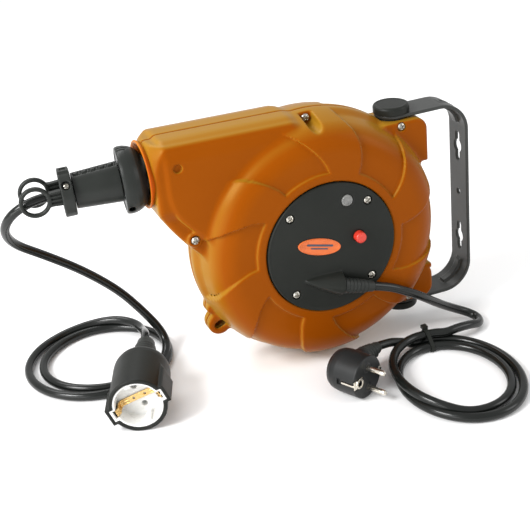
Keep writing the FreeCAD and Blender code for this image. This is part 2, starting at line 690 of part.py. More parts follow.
# ------------------------------------------------------------------ free cords and what is on them
OUTPUT_ROUTE = [
    (-212.7, 0, 86.5), (-229, 0, 86.5), (-245, 1.5, 80), (-256.5, 12, 68.5), (-260.5, 30, 51.5),
    (-252, 48, 31), (-228, 60, 10), (-196, 68, -17), (-166, 71, -47), (-147, 72, -74),
    (-133, 64, -96), (-132, 50, -108),
]
COUPLER_ROUTE = [
    (-153.25, 41.5, -90), (-149.14, 52.55, -90), (-146.5, 68, -95.5), (-145, 85, -105),
]
MAINS_ROUTE = [
    (33.1, -53.2, -42.8), (47.4, -53.2, -47.2), (63, -52.6, -56), (82, -48.5, -69), (101, -40, -85), (120, -33, -99),
    (136, -33, -108), (143, -42, -111), (138, -55, -111.2), (124, -61, -111), (110, -63, -110),
    (97, -65, -108),
]
PLUG_ROUTE = [
    (63, -58, -106), (52, -56, -100), (40.5, -59.5, -96), (28.6, -65.7, -96),
]
OUTPUT_COIL = {"centre": (-195.0, 73.5), "outer": (72.0, 69.0), "inner": (50.0, 48.0)}
MAINS_COIL = {"centre": (76.5, -122.0), "outer": (54.5, 70.0), "inner": (34.5, 49.0)}


def coil_ring(spec):
    """Flat ring with the outer shape of two turns lying on the floor."""
    height = 2 * dim("cord_dia") - 0.4
    low = dim("floor_z")
    rims = []
    centre = Vector(*spec["centre"], low)
    for a, b in (spec["outer"], spec["inner"]):
        if a > b:
            curve = Part.Ellipse(centre, a, b)
        else:
            curve = Part.Ellipse(centre + Vector(0, b, 0), centre + Vector(a, 0, 0), centre)
        rims.append(Part.Face(Part.Wire([curve.toShape()])).extrude(Vector(0, 0, height)))
    ring = rims[0].cut(rims[1])
    edges = [e for e in ring.Edges if len(e.Vertexes) == 1 and e.Length > 100]
    return computed(ring.makeFillet(3.5, edges))


def cords():
    node("output_cable", cord(OUTPUT_ROUTE, "output_cable"))
    node("output_coil", coil_ring(OUTPUT_COIL))
    node("coupler_lead", cord(COUPLER_ROUTE, "coupler_lead"))
    node("mains_lead", cord(MAINS_ROUTE, "mains_lead"))
    node("mains_coil", coil_ring(MAINS_COIL))
    node("plug_lead", cord(PLUG_ROUTE, "plug_lead"))


def frame_along(heading, roll=0.0):
    """Rotation that takes +Z to a level heading in degrees and keeps +X level."""
    level = math.radians(heading)
    forward = Vector(math.cos(level), math.sin(level), 0)
    side = Vector(-math.sin(level), math.cos(level), 0)
    base = FreeCAD.Rotation(side, Vector(0, 0, 1), forward, "ZXY")
    return base.multiply(FreeCAD.Rotation(Vector(0, 0, 1), roll))


def coupler():
    """Two-pole earthed coupler socket lying on the floor."""
    heading = 69.6
    rim = Vector(-191, -60, dim("floor_z") + dim("coupler_rim"))
    turn = frame_along(heading, roll=68)

    def place(thing, x=0.0, y=0.0, z=0.0):
        return put(thing, rim + turn.multVec(Vector(x, y, z)), turn)

    outline = [(21.6, 0), ("coupler_rim - 0.6", 0), ("coupler_rim", 1), ("coupler_rim", 54), (22, 60), (14, 67),
               (9, 69), (9, 74), (0, 74), (0, 30), (21.6, 30)]
    body = place(turned(outline))
    key = place(box((16, 9, 50), (0, 0, 0)), -8, 17.5, 2)
    node("coupler_body", cut(fuse(body, key), place(cylinder(21.6, 31, (0, 0, 0)), 0, 0, -1)))
    insert = place(turned([(0, 17.5), (19.6, 17.5), (19.6, 1), (21.5, 1), (21.5, 29.9), (0, 29.9)]))
    holes = [place(cylinder(2.6, 15, (0, 0, 0)), 9.5 * s, 0, 14) for s in (1, -1)]
    node("coupler_insert", cut(insert, *holes))
    strip = place(box((6, 32, 1.2), (0, 0, 0)), -3, -16, 16.2)
    arms = [place(box((6, 1.2, 12), (0, 0, 0)), -3, y, 5.5) for y in (-17.2, 16)]
    node("coupler_earth_strip", fuse(strip, *arms))
    sleeve = [(0, 74), (9, 74), (9, 80), (8.1, 80), (8.1, 83), (8.8, 83), (8.5, 88), (7.6, 88), (7.6, 91),
              (8.1, 91), (7.6, 96), (6.8, 96), (6.8, 98), (6, 108), (0, 108)]
    node("coupler_relief", place(turned(sleeve)))


def plug():
    """Angled two-pin earthed plug lying on its side."""
    heading = -62.5
    level = math.radians(heading)
    exit_way = Vector(-math.sin(level), math.cos(level), 0)
    face = Vector(-2, -107, dim("floor_z") + dim("plug_rim"))
    turn = frame_along(heading)

    def place(thing, x=0.0, y=0.0, z=0.0):
        return put(thing, face + turn.multVec(Vector(x, y, z)), turn)

    def place_on_exit(thing, reach):
        base = face + turn.multVec(Vector(0, 0, -22.5)) + exit_way * reach
        return put(thing, base, FreeCAD.Rotation(Vector(0, 0, 1), exit_way))

    cup = place(turned([(0, 0), (17.6, 0), ("plug_rim", -1.4), ("plug_rim", -20), (16, -27), (13, -33), (0, -34)]))
    neck = place_on_exit(cylinder(9.5, 24, (0, 0, 0)), 0)
    bores = [place(cylinder(1.9, 16, (0, 0, 0)), 0, 9.5 * s, -15) for s in (1, -1)]
    slots = [place(box((3.4, 9, 15), (0, 0, 0)), x, -4.5, -14) for x in (-19.5, 16.1)]
    earth_hole = place(cylinder(2.6, 11, (0, 0, 0)), -10, 0, -10)
    node("plug_body", cut(fuse(cup, neck), *bores, *slots, earth_hole))
    pin = [(0, -15), (1.9, -15), (1.9, 0), (2.4, 0), (2.4, 17.5), (1.4, 19), (0, 19)]
    pins = [place(turned(pin), 0, 9.5 * s, 0) for s in (1, -1)]
    node("plug_pins", *pins)
    clips = [place(box((1.6, 8, 14.8), (0, 0, 0)), x, -4, -13.9) for x in (-18.4, 16.8)]
    node("plug_earth_clips", *clips)
    sleeve = [(0, 0), (9, 0), (9, 4), (7.6, 4), (7.6, 6), (8.2, 6), (7.6, 10), (6.6, 10), (6.6, 12), (7, 12),
              (5.2, 22), (0, 22)]
    node("plug_relief", place_on_exit(turned(sleeve), 24))


def cable_tie():
    """Open-bottomed band over the mains coil."""
    band = box((5, 27, 18.6), (77, -76.5, "floor_z"))
    gap = box((7, 24, 17.2), (76, -75, "floor_z - 1"))
    node("cable_tie", cut(band, gap))


# ------------------------------------------------------------------ build, check, write
bracket_strap()
pivot_parts()
shells()
outlet_ring()
front_cover()
cover_fittings()
axle_and_contacts()
guide_rollers()
drum_parts()
pawl_parts()
reset_button()
cable_stop()
cords()
coupler()
plug()
cable_tie()
sheet.set("D1", "0")
doc.recompute()

for thing in doc.Objects:
    if "Invalid" in thing.State or "Error" in thing.State:
        raise RuntimeError(f"{thing.Name} ({thing.Label}) failed: {thing.State}")
for thing in nodes:
    if thing.Shape.isNull() or not thing.Shape.isValid() or not thing.Shape.Solids:
        raise RuntimeError(f"{thing.Label} has no valid solid")
os.makedirs("parts", exist_ok=True)
for thing in nodes:
    thing.Shape.exportStep(f"parts/{thing.Label}.step")
print(len(nodes), "nodes written")
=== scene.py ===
"""Looks of the extension cord reel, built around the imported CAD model.

Helpers take drum coordinates in millimetres: origin on the drum's axis at its middle
plane, X right, Y away from the viewer, Z up.  at() turns them into the frame's metres.
"""

import functools
import math

import bpy
import numpy as np
import openvdb
from mathutils import Matrix, Vector


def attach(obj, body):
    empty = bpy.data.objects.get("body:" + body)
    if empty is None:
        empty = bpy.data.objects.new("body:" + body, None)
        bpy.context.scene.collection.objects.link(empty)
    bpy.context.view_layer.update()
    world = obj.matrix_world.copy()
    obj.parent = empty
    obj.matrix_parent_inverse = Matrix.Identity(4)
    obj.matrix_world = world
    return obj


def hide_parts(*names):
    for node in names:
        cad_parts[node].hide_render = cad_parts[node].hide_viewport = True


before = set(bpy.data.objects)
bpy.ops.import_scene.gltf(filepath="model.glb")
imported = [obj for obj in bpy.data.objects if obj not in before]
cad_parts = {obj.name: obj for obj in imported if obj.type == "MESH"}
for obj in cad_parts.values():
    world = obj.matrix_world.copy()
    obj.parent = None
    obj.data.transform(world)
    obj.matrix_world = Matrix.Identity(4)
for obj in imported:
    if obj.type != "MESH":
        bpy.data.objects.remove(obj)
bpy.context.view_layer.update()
scene = bpy.context.scene

MM = 0.001
REEL_X = -152.0                # drum axis from the wall face
FLOOR_Z = -115.0
OUTLET_Z = 86.5
CORD = 8.0                     # diameter of both cords
GRAIN_DEPTH = 0.0004


def at(x, y, z):
    """Place in the frame, in metres, of a place on the drum in millimetres."""
    return Vector(((x + REEL_X) * MM, y * MM, z * MM))


# ---------------------------------------------------------------- materials
def new_material(name):
    material = bpy.data.materials.new(name)
    material.use_nodes = True
    nodes = material.node_tree.nodes
    return material, nodes, material.node_tree.links, nodes["Principled BSDF"]


def noise_node(nodes, links, scale, detail=3.0, stretch=(1, 1, 1)):
    place = nodes.new("ShaderNodeTexCoord")
    spread = nodes.new("ShaderNodeMapping")
    spread.inputs["Scale"].default_value = stretch
    noise = nodes.new("ShaderNodeTexNoise")
    noise.inputs["Scale"].default_value = scale
    noise.inputs["Detail"].default_value = detail
    links.new(place.outputs["Object"], spread.inputs["Vector"])
    links.new(spread.outputs["Vector"], noise.inputs["Vector"])
    return noise


def ramp(nodes, links, source, low, high, start=0.3, end=0.7):
    node = nodes.new("ShaderNodeValToRGB")
    node.color_ramp.elements[0].position = start
    node.color_ramp.elements[1].position = end
    node.color_ramp.elements[0].color = (*low, 1)
    node.color_ramp.elements[1].color = (*high, 1)
    links.new(source, node.inputs["Fac"])
    return node


def add_painted_sheen(nodes, links, tone, painted_sheen_colour):
    """Painted sheen and light: a paler, yellower colour painted on the walls that face neither the front nor
    the back, standing in for the light and gloss that fall on them.
    """
    surface = nodes.new("ShaderNodeNewGeometry")
    split = nodes.new("ShaderNodeSeparateXYZ")
    links.new(surface.outputs["Normal"], split.inputs["Vector"])
    facing = nodes.new("ShaderNodeMath")
    facing.operation = "ABSOLUTE"
    links.new(split.outputs["Y"], facing.inputs[0])
    share = nodes.new("ShaderNodeMapRange")
    share.inputs["From Min"].default_value = 0.85
    share.inputs["From Max"].default_value = 0.1
    links.new(facing.outputs[0], share.inputs["Value"])
    mix = nodes.new("ShaderNodeMix")
    mix.data_type = "RGBA"
    links.new(share.outputs["Result"], mix.inputs["Factor"])
    links.new(tone, mix.inputs["A"])
    mix.inputs["B"].default_value = (*painted_sheen_colour, 1)
    return mix.outputs["Result"]


def grained(name, low, high, rough=(0.4, 0.5), scale=40.0, grain=900.0, bump=0.03, metallic=0.0,
            specular=0.5, stretch=(1, 1, 1), painted_sheen_colour=None, ior=1.5, tint=None):
    """Plastic, rubber or metal: mottled colour, uneven gloss and a fine grain.

    The colour for walls that face sideways is a painted sheen, a paler colour standing in for the light and
    gloss on them, and tint is the colour of the gloss.
    """
    material, nodes, links, shader = new_material(name)
    broad = noise_node(nodes, links, scale, stretch=stretch)
    colour = ramp(nodes, links, broad.outputs["Fac"], low, high)
    tone = colour.outputs["Color"]
    # Painted sheen: a paler colour mixed in on walls that face sideways, standing in for the light on them.
    if painted_sheen_colour:
        tone = add_painted_sheen(nodes, links, tone, painted_sheen_colour)
    links.new(tone, shader.inputs["Base Color"])
    gloss = ramp(nodes, links, broad.outputs["Fac"], (rough[0],) * 3, (rough[1],) * 3)
    links.new(gloss.outputs["Color"], shader.inputs["Roughness"])
    shader.inputs["Metallic"].default_value = metallic
    shader.inputs["Specular IOR Level"].default_value = specular
    shader.inputs["IOR"].default_value = ior
    if tint:
        shader.inputs["Specular Tint"].default_value = (*tint, 1)
    fine = noise_node(nodes, links, grain, detail=2.0, stretch=stretch)
    relief = nodes.new("ShaderNodeBump")
    relief.inputs["Strength"].default_value = bump
    relief.inputs["Distance"].default_value = GRAIN_DEPTH
    links.new(fine.outputs["Fac"], relief.inputs["Height"])
    links.new(relief.outputs["Normal"], shader.inputs["Normal"])
    return material


# The shell's sideways colour is painted sheen: paler, yellower orange on the top and side walls, standing in
# for light.
ORANGE = grained("orange_shell", (0.232, 0.047, 0.0002), (0.256, 0.054, 0.0004), rough=(0.30, 0.38),
                 scale=9.0, grain=1400, bump=0.05, specular=0.5, ior=1.25, painted_sheen_colour=(0.31, 0.150, 0.010),
                 tint=(1.0, 0.75, 0.25))
# The lip's sideways colour is painted sheen as well: paler orange standing in for light.
LIP = grained("orange_lip", (0.40, 0.060, 0.002), (0.44, 0.070, 0.003), rough=(0.34, 0.42), scale=12.0,
              grain=1400, bump=0.05, specular=0.5, ior=1.2, painted_sheen_colour=(0.46, 0.15, 0.006))
BLACK = grained("black_plastic", (0.011, 0.0125, 0.0105), (0.016, 0.0175, 0.015), rough=(0.36, 0.46),
                scale=22.0, grain=1800, bump=0.10, specular=0.16)
DOME_BLACK = grained("stop_plastic", (0.013, 0.0150, 0.013), (0.019, 0.021, 0.019), rough=(0.32, 0.40),
                     scale=30.0, grain=1500, bump=0.08, specular=0.22)
RUBBER = grained("black_rubber", (0.006, 0.0070, 0.0062), (0.009, 0.0105, 0.0094), rough=(0.18, 0.25),
                 scale=30.0, grain=900, bump=0.04, specular=0.32)
MOULDED = grained("moulded_rubber", (0.018, 0.020, 0.018), (0.026, 0.028, 0.026), rough=(0.38, 0.48),
                  scale=60.0, grain=1500, bump=0.16, specular=0.2)
COUPLER_BLACK = grained("coupler_rubber", (0.008, 0.009, 0.0075), (0.012, 0.013, 0.011), rough=(0.40, 0.50),
                        scale=40.0, grain=1500, bump=0.12, specular=0.2)
PLUG_BLACK = grained("plug_rubber", (0.009, 0.010, 0.010), (0.014, 0.015, 0.015), rough=(0.38, 0.48),
                     scale=40.0, grain=1500, bump=0.12, specular=0.3)
STRAP = grained("strap_paint", (0.026, 0.028, 0.026), (0.036, 0.038, 0.036), rough=(0.30, 0.38),
                scale=30.0, grain=1600, bump=0.08, specular=0.3)
RED = grained("button_red", (0.55, 0.035, 0.020), (0.62, 0.045, 0.025), rough=(0.22, 0.3), scale=200,
              bump=0.02)
WHITE = grained("insert_white", (0.72, 0.72, 0.70), (0.80, 0.80, 0.78), rough=(0.25, 0.32), scale=80,
                bump=0.02)
GREY = grained("grey_plastic", (0.16, 0.16, 0.165), (0.20, 0.20, 0.205), rough=(0.45, 0.55), bump=0.06)
NYLON = grained("nylon", (0.60, 0.58, 0.50), (0.68, 0.66, 0.58), rough=(0.4, 0.5), bump=0.04)
STEEL = grained("bright_steel", (0.55, 0.55, 0.56), (0.68, 0.68, 0.69), rough=(0.22, 0.34), metallic=1.0,
                scale=300, grain=2500, bump=0.05, stretch=(1, 1, 12))
BLUED = grained("spring_steel", (0.18, 0.20, 0.25), (0.28, 0.30, 0.36), rough=(0.25, 0.4), metallic=1.0,
                scale=200, bump=0.04)
SCREW = grained("screw_zinc", (0.30, 0.285, 0.25), (0.62, 0.60, 0.54), rough=(0.22, 0.34), metallic=1.0,
                scale=700, grain=3000, bump=0.05)
NICKEL = grained("pin_nickel", (0.62, 0.58, 0.50), (0.80, 0.76, 0.68), rough=(0.14, 0.22), metallic=1.0,
                 scale=400, grain=3000, bump=0.04)
BRASS = grained("brass", (0.62, 0.40, 0.14), (0.78, 0.55, 0.25), rough=(0.2, 0.32), metallic=1.0,
                scale=500, grain=2500, bump=0.06)
BADGE = grained("badge_lacquer", (0.60, 0.115, 0.018), (0.66, 0.135, 0.022), rough=(0.25, 0.32), scale=120,
                grain=1500, bump=0.02, specular=0.5)
INK = grained("badge_ink", (0.035, 0.045, 0.075), (0.045, 0.055, 0.090), rough=(0.3, 0.4), scale=150,
              bump=0.02)
LENS = grained("lens_smoked", (0.13, 0.13, 0.125), (0.20, 0.20, 0.19), rough=(0.12, 0.2), scale=260,
               grain=900, bump=0.10, specular=0.6)
CARBON = grained("carbon", (0.012, 0.012, 0.013), (0.03, 0.03, 0.032), rough=(0.5, 0.65), scale=500,
                 bump=0.1)
FLOOR_WHITE = grained("floor_white", (0.95, 0.95, 0.95), (0.97, 0.97, 0.97), rough=(0.6, 0.7), scale=2,
                      bump=0.0)


def paint(thing, material):
    thing.data.materials.clear()
    thing.data.materials.append(material)
    return thing


FINISHES = {
    ORANGE: "front_shell rear_shell outlet_ring",
    BLACK: "pivot_washers front_cover pivot_caps cable_tie",
    DOME_BLACK: "stop_dome stop_barrel_front stop_barrel_rear stop_collar eyelet_front eyelet_rear",
    RUBBER: "cable_run wound_cable output_cable output_coil coupler_lead mains_lead mains_coil plug_lead",
    MOULDED: "coupler_body coupler_relief plug_body plug_relief strain_relief",
    STRAP: "bracket_strap",
    RED: "reset_button",
    WHITE: "coupler_insert pilot_lamp indicator_lens badge",
    GREY: "thermal_breaker brush_holder roller_frame drum_spool ratchet_ring",
    NYLON: "terminal_block guide_roller_upper guide_roller_lower slip_ring_carrier",
    STEEL: "axle roller_pins spring_case spring_cover pawl_pin pawl",
    BLUED: "mainspring pawl_spring",
    SCREW: "pivot_bolts shell_screws cover_screws stop_screw",
    NICKEL: "plug_pins plug_earth_clips",
    BRASS: "drum_bushes slip_rings coupler_earth_strip",
    CARBON: "brushes",
}
for material, names in FINISHES.items():
    for name in names.split():
        paint(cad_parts[name], material)


# ---------------------------------------------------------------- camera, floor and light
VIEW = (19.0, 26.66, -5.91)    # azimuth, elevation and roll in degrees
VIEWPOINT = (-351.4, -886.25, 446.86)
FOCAL_LENGTH = 80.56
LIGHTS_AIM = (-0.16, 0, 0)
LIGHTS = (
    ("key", (-1.5, -0.35, 1.05), (0.6, 0.6), 28),
    ("low_left", (-1.2, -0.5, 0.12), (0.9, 0.25), 4),
    ("fill", (1.3, -0.9, 0.8), (0.7, 0.9), 7),
    ("back", (-0.5, 1.0, 1.3), (1.2, 0.35), 9),
)
SKY = 0.78
FLOOR_HALF = 6.0


def add_camera():
    """Camera at the viewing angle: direction, roll and field of view."""
    azimuth, elevation, roll = (math.radians(v) for v in VIEW)
    ahead = Vector((math.sin(azimuth) * math.cos(elevation), math.cos(azimuth) * math.cos(elevation),
                    -math.sin(elevation)))
    level = Vector((math.cos(azimuth), -math.sin(azimuth), 0))
    upright = level.cross(ahead)
    right = math.cos(roll) * level + math.sin(roll) * upright
    up = -math.sin(roll) * level + math.cos(roll) * upright
    data = bpy.data.cameras.new("camera")
    data.lens = FOCAL_LENGTH
    data.sensor_width = 36.0
    data.clip_start = 0.01
    camera = bpy.data.objects.new("camera", data)
    scene.collection.objects.link(camera)
    turn = Matrix((right, up, -ahead)).transposed().to_4x4()
    camera.matrix_world = Matrix.Translation(at(*VIEWPOINT)) @ turn
    scene.camera = camera


def add_lights():
    """Soft rectangles round the reel, and an even white sky."""
    for name, place, size, energy in LIGHTS:
        data = bpy.data.lights.new(name, "AREA")
        data.shape = "RECTANGLE"
        data.size, data.size_y = size
        data.energy = energy
        light = bpy.data.objects.new(name, data)
        scene.collection.objects.link(light)
        light.location = place
        light.rotation_euler = (Vector(LIGHTS_AIM) - Vector(place)).to_track_quat("-Z", "Y").to_euler()
    world = bpy.data.worlds.new("studio")
    world.use_nodes = True
    sky = world.node_tree.nodes["Background"]
    sky.inputs["Color"].default_value = (1, 1, 1, 1)
    sky.inputs["Strength"].default_value = SKY
    scene.world = world
    scene.view_settings.view_transform = "Standard"


def add_floor():
    mesh = bpy.data.meshes.new("floor")
    corners = [(-1, -1), (1, -1), (1, 1), (-1, 1)]
    mesh.from_pydata([(a * FLOOR_HALF, b * FLOOR_HALF, 0) for a, b in corners], [], [(0, 1, 2, 3)])
    floor = bpy.data.objects.new("floor", mesh)
    scene.collection.objects.link(floor)
    floor.location = (0, 0, FLOOR_Z * MM - 0.0002)
    paint(floor, FLOOR_WHITE)


add_camera()
add_floor()
add_lights()


# ---------------------------------------------------------------- cords
OUTPUT_ROUTE = [
    (-210.5, 7.9, 82.6), (-227, 10.0, 82.2), (-243, 11.2, 78), (-255, 17, 68.5), (-260, 31, 51.5),
    (-252, 48, 31), (-228, 60, 10), (-196, 68, -17), (-166, 71, -47), (-147, 72, -74),
    (-133, 64, -96), (-132, 50, -108),
]
COUPLER_ROUTE = [(-147, 80, -101), (-149, 62, -93.5), (-153.4, 45.0, -90), (-158.8, 27.0, -90)]
MAINS_ROUTE = [
    (33.1, -53.2, -42.8), (47.4, -53.2, -47.2), (63, -52.6, -56), (82, -48.5, -69), (101, -40, -85),
    (120, -33, -99), (136, -33, -108), (143, -42, -111), (138, -55, -110), (124, -61, -104.5),
    (110, -63, -102.8), (97, -65, -102.8),
]
PLUG_ROUTE = [(63, -57, -107), (53, -58.5, -103), (41.5, -61.5, -98), (28.6, -65.7, -96)]
STEP = 24.0                    # degrees between the points of a coil
BULGE = 1.02                   # the curve cuts inside its points by about this much


def coil_points(table, centre, inner, outer, sign):
    """Turns on the floor: table rows are (degrees, share from inner to outer, height).

    inner and outer are half sizes along X and Y, and sign is the way that the degrees run.
    """
    angles, shares, heights = (np.array(column, float) for column in zip(*table))
    points = []
    count = round(abs(angles[-1] - angles[0]) / STEP)
    for angle in np.linspace(angles[0], angles[-1], count + 1):
        share = np.interp(sign * angle, sign * angles, shares)
        height = np.interp(sign * angle, sign * angles, heights)
        along = (inner[0] + (outer[0] - inner[0]) * share) * BULGE
        across = (inner[1] + (outer[1] - inner[1]) * share) * BULGE
        turn = math.radians(angle)
        points.append((centre[0] + along * math.cos(turn), centre[1] + across * math.sin(turn), height))
    return points


OUTPUT_COIL = {"centre": (-191.5, 69), "inner": (54, 52), "outer": (68, 65), "sign": -1}
MAINS_COIL = {"centre": (75, -122), "inner": (43, 54), "outer": (52, 66), "sign": 1}
LOW = FLOOR_Z + CORD / 2 + 0.1
HIGH = LOW + CORD
OUTPUT_TURNS = [
    (-48, 0.62, LOW), (-80, 0.25, LOW), (-120, 0.05, LOW), (-230, 0.0, LOW), (-270, 0.2, LOW),
    (-300, 0.2, LOW), (-330, 0.35, LOW), (-365, 0.55, LOW), (-395, 0.75, LOW), (-430, 0.95, LOW),
    (-470, 1.0, LOW), (-560, 1.0, LOW), (-600, 0.95, LOW), (-630, 0.72, LOW + 3), (-650, 0.45, HIGH),
    (-668, 0.2, HIGH + 0.3), (-684, -0.05, HIGH + 0.3),
]
MAINS_TURNS = [
    (76, 0.75, HIGH), (100, 0.85, HIGH), (150, 0.95, HIGH), (190, 0.85, HIGH), (215, 0.55, HIGH - 2),
    (245, 0.2, LOW), (280, 0.0, LOW), (430, 0.0, LOW), (470, 0.15, LOW), (520, 0.5, LOW),
    (550, 0.8, LOW), (590, 1.0, LOW), (760, 1.0, LOW), (808, 1.0, LOW), (820, 0.95, LOW + 1),
]


def smooth_cord(name, points):
    """One smooth curve with the route's points as its control points."""
    curve = bpy.data.curves.new(name, "CURVE")
    curve.dimensions = "3D"
    spline = curve.splines.new("NURBS")
    spline.points.add(len(points) - 1)
    for point, place in zip(spline.points, points):
        point.co = (*at(*place), 1)
    spline.order_u = 3
    spline.use_endpoint_u = True
    spline.resolution_u = 12
    curve.bevel_depth = CORD / 2 * MM
    curve.bevel_resolution = 8
    curve.materials.append(RUBBER)
    thing = bpy.data.objects.new(name, curve)
    scene.collection.objects.link(thing)
    return thing


def centre_line(cord):
    """Points of the line that the cord follows, in the frame's metres."""
    copy = cord.copy()
    copy.data = cord.data.copy()
    copy.data.bevel_depth = 0
    scene.collection.objects.link(copy)
    line = bpy.data.meshes.new_from_object(copy)
    points = [v.co.copy() for v in line.vertices]
    bpy.data.objects.remove(copy)
    return points


def cord_length(cord):
    points = centre_line(cord)
    return sum((b - a).length for a, b in zip(points, points[1:]))


output_coil = coil_points(OUTPUT_TURNS, **OUTPUT_COIL)
output_cord = smooth_cord("output_cord", OUTPUT_ROUTE + output_coil + COUPLER_ROUTE)
mains_coil = coil_points(MAINS_TURNS, **MAINS_COIL)
mains_cord = smooth_cord("mains_cord", MAINS_ROUTE + mains_coil + PLUG_ROUTE)
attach(output_cord, "stop")
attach(mains_cord, "housing")
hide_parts("output_cable", "output_coil", "coupler_lead")
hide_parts("mains_lead", "mains_coil", "plug_lead")


# ---------------------------------------------------------------- distance fields
# A field is below zero inside the solid.  x, y and z are arrays of drum or piece millimetres.
NOWHERE = 9.0                  # far outside any solid


def soft_max(a, b, reach):
    overlap = np.maximum(reach - np.abs(a - b), 0) / reach
    return np.maximum(a, b) + overlap * overlap * reach * 0.25


def soft_min(a, b, reach):
    return -soft_max(-a, -b, reach)


def ease(value, low, high):
    share = np.clip((value - low) / (high - low), 0, 1)
    return share * share * (3 - 2 * share)


def common(*fields):
    """Where all the fields overlap."""
    return functools.reduce(np.maximum, fields)


def carve(body, tool, reach):
    """Body less the tool, softened over reach."""
    return soft_max(body, -tool, reach)


def only(place, field):
    """The field where place is true, and no solid elsewhere."""
    return np.where(place, field, NOWHERE)


def slab(value, low, high):
    return np.maximum(low - value, value - high)


def column(u, v, place, radius):
    """Round column or hole along the third axis."""
    return np.sqrt((u - place[0]) ** 2 + (v - place[1]) ** 2) - radius


def to_segment(u, v, first, last):
    """Distance to the stretch from first to last."""
    du, dv = last[0] - first[0], last[1] - first[1]
    share = np.clip(((u - first[0]) * du + (v - first[1]) * dv) / (du * du + dv * dv), 0, 1)
    return np.sqrt((u - first[0] - share * du) ** 2 + (v - first[1] - share * dv) ** 2)


def beyond(x, z, first, last):
    """Distance outside the line from first to last, whose solid lies on its left."""
    run = (last[0] - first[0], last[1] - first[1])
    size = math.hypot(*run)
    return ((x - first[0]) * run[1] - (z - first[1]) * run[0]) / size


def outline_field(u, v, points):
    """Distance to a closed outline, negative inside."""
    inside = np.zeros(u.shape, bool)
    best = np.full(u.shape, 1e9)
    for first, second in zip(points, points[1:] + points[:1]):
        best = np.minimum(best, to_segment(u, v, first, second))
        du, dv = second[0] - first[0], second[1] - first[1]
        if dv:
            crossed = (first[1] > v) != (second[1] > v)
            inside ^= crossed & (u < first[0] + du * (v - first[1]) / dv)
    return np.where(inside, -best, best)


# ---------------------------------------------------------------- meshes from fields and profiles
LEVEL = Matrix.Identity(4)
TO_FRAME = Matrix.Translation((REEL_X * MM, 0, 0)) @ Matrix.Scale(MM, 4)


def frame_of(origin, axis, up=(0, 0, 1)):
    """Matrix whose Z runs along axis and whose Y is nearest to up, in drum millimetres."""
    z = Vector(axis).normalized()
    x = Vector(up).cross(z).normalized()
    y = z.cross(x)
    return Matrix.Translation(origin) @ Matrix((x, y, z)).transposed().to_4x4()


def dress(thing, material, body, nodes, sharp=40):
    """Material, body and the CAD nodes that a piece stands for."""
    thing.data.shade_smooth()
    thing.data.set_sharp_from_angle(angle=math.radians(sharp))
    paint(thing, material)
    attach(thing, body)
    if nodes:
        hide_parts(*nodes.split())
    return thing


def mesh_piece(name, points, faces, place=LEVEL):
    """Object from points in a piece's own millimetres."""
    mesh = bpy.data.meshes.new(name)
    turn = np.array(TO_FRAME @ place)
    spots = np.asarray(points, float) @ turn[:3, :3].T + turn[:3, 3]
    mesh.from_pydata(spots.tolist(), [], faces)
    mesh.update()
    thing = bpy.data.objects.new(name, mesh)
    scene.collection.objects.link(thing)
    return thing


def signed_volume(points, quads):
    a, b, c, d = (points[quads[:, n]] for n in range(4))
    first = np.einsum("ij,ij->i", a, np.cross(b, c)).sum()
    return first + np.einsum("ij,ij->i", a, np.cross(c, d)).sum()


def moulded(name, field, low, high, cell, place=LEVEL, reach=None):
    """Closed mesh of a field's zero surface, sampled on a grid in the piece's own axes."""
    axes = [np.arange(a, b + cell, cell, dtype=np.float32) for a, b in zip(low, high)]
    x, y, z = np.meshgrid(*axes, indexing="ij")
    reach = reach or 3.5 * cell
    grid = openvdb.FloatGrid(reach)
    grid.copyFromArray(np.clip(field(x, y, z), -reach, reach).astype(np.float32))
    points, quads = grid.convertToQuads(0.0)
    spots = points * cell + np.array(low)
    order = quads if signed_volume(spots, quads) > 0 else quads[:, ::-1]
    return mesh_piece(name, spots, order.tolist(), place)


def ways(steps, shift=0.0):
    """Cosine and sine of each step of one turn."""
    turns = [2 * math.pi * (n + shift) / steps for n in range(steps)]
    return [(math.cos(turn), math.sin(turn)) for turn in turns]


def add_row(points, places):
    """Add the places to points and return their numbers."""
    first = len(points)
    points.extend(places)
    return list(range(first, len(points)))


def bands(rows, closed=False):
    """Faces between neighbouring rows of point numbers, each row going once round."""
    pairs = list(zip(rows, rows[1:]))
    if closed:
        pairs.append((rows[-1], rows[0]))
    faces = []
    for low, high in pairs:
        for n in range(len(low)):
            m = (n + 1) % len(low)
            ring = [low[n], low[m], high[m], high[n]]
            ring = [p for k, p in enumerate(ring) if p != ring[k - 1]]
            if len(ring) > 2:
                faces.append(ring)
    return faces


def merged(parts):
    """One list of points and one of faces, from several of (points, faces, place)."""
    points, faces = [], []
    for some, sides, place in parts:
        base = len(points)
        points += [tuple(place @ Vector(p)) for p in some]
        faces += [[n + base for n in side] for side in sides]
    return points, faces


def lathe(profile, steps=72):
    """Points and faces of a profile of (radius, height) turned about Z."""
    points, rows = [], []
    for radius, height in profile:
        if radius < 1e-6:
            rows.append(add_row(points, [(0, 0, height)]) * steps)
        else:
            rows.append(add_row(points, [(radius * c, radius * s, height) for c, s in ways(steps)]))
    return points, bands(rows)


def rounded_profile(profile, radius=0.5, steps=3):
    """Profile with each inner corner replaced by a short arc."""
    result = [profile[0]]
    for before, corner, after in zip(profile, profile[1:], profile[2:]):
        c = np.array(corner, float)
        a, b = np.array(before, float) - c, np.array(after, float) - c
        reach = min(radius, np.linalg.norm(a) * 0.45, np.linalg.norm(b) * 0.45)
        a = c + a / (np.linalg.norm(a) + 1e-9) * reach
        b = c + b / (np.linalg.norm(b) + 1e-9) * reach
        for n in range(steps + 1):
            t = n / steps
            result.append(tuple((1 - t) ** 2 * a + 2 * t * (1 - t) * c + t * t * b))
    result.append(profile[-1])
    return result


def turned_piece(name, profile, place, steps=72, radius=0.5):
    points, faces = lathe(rounded_profile(profile, radius), steps)
    return mesh_piece(name, points, faces, place)


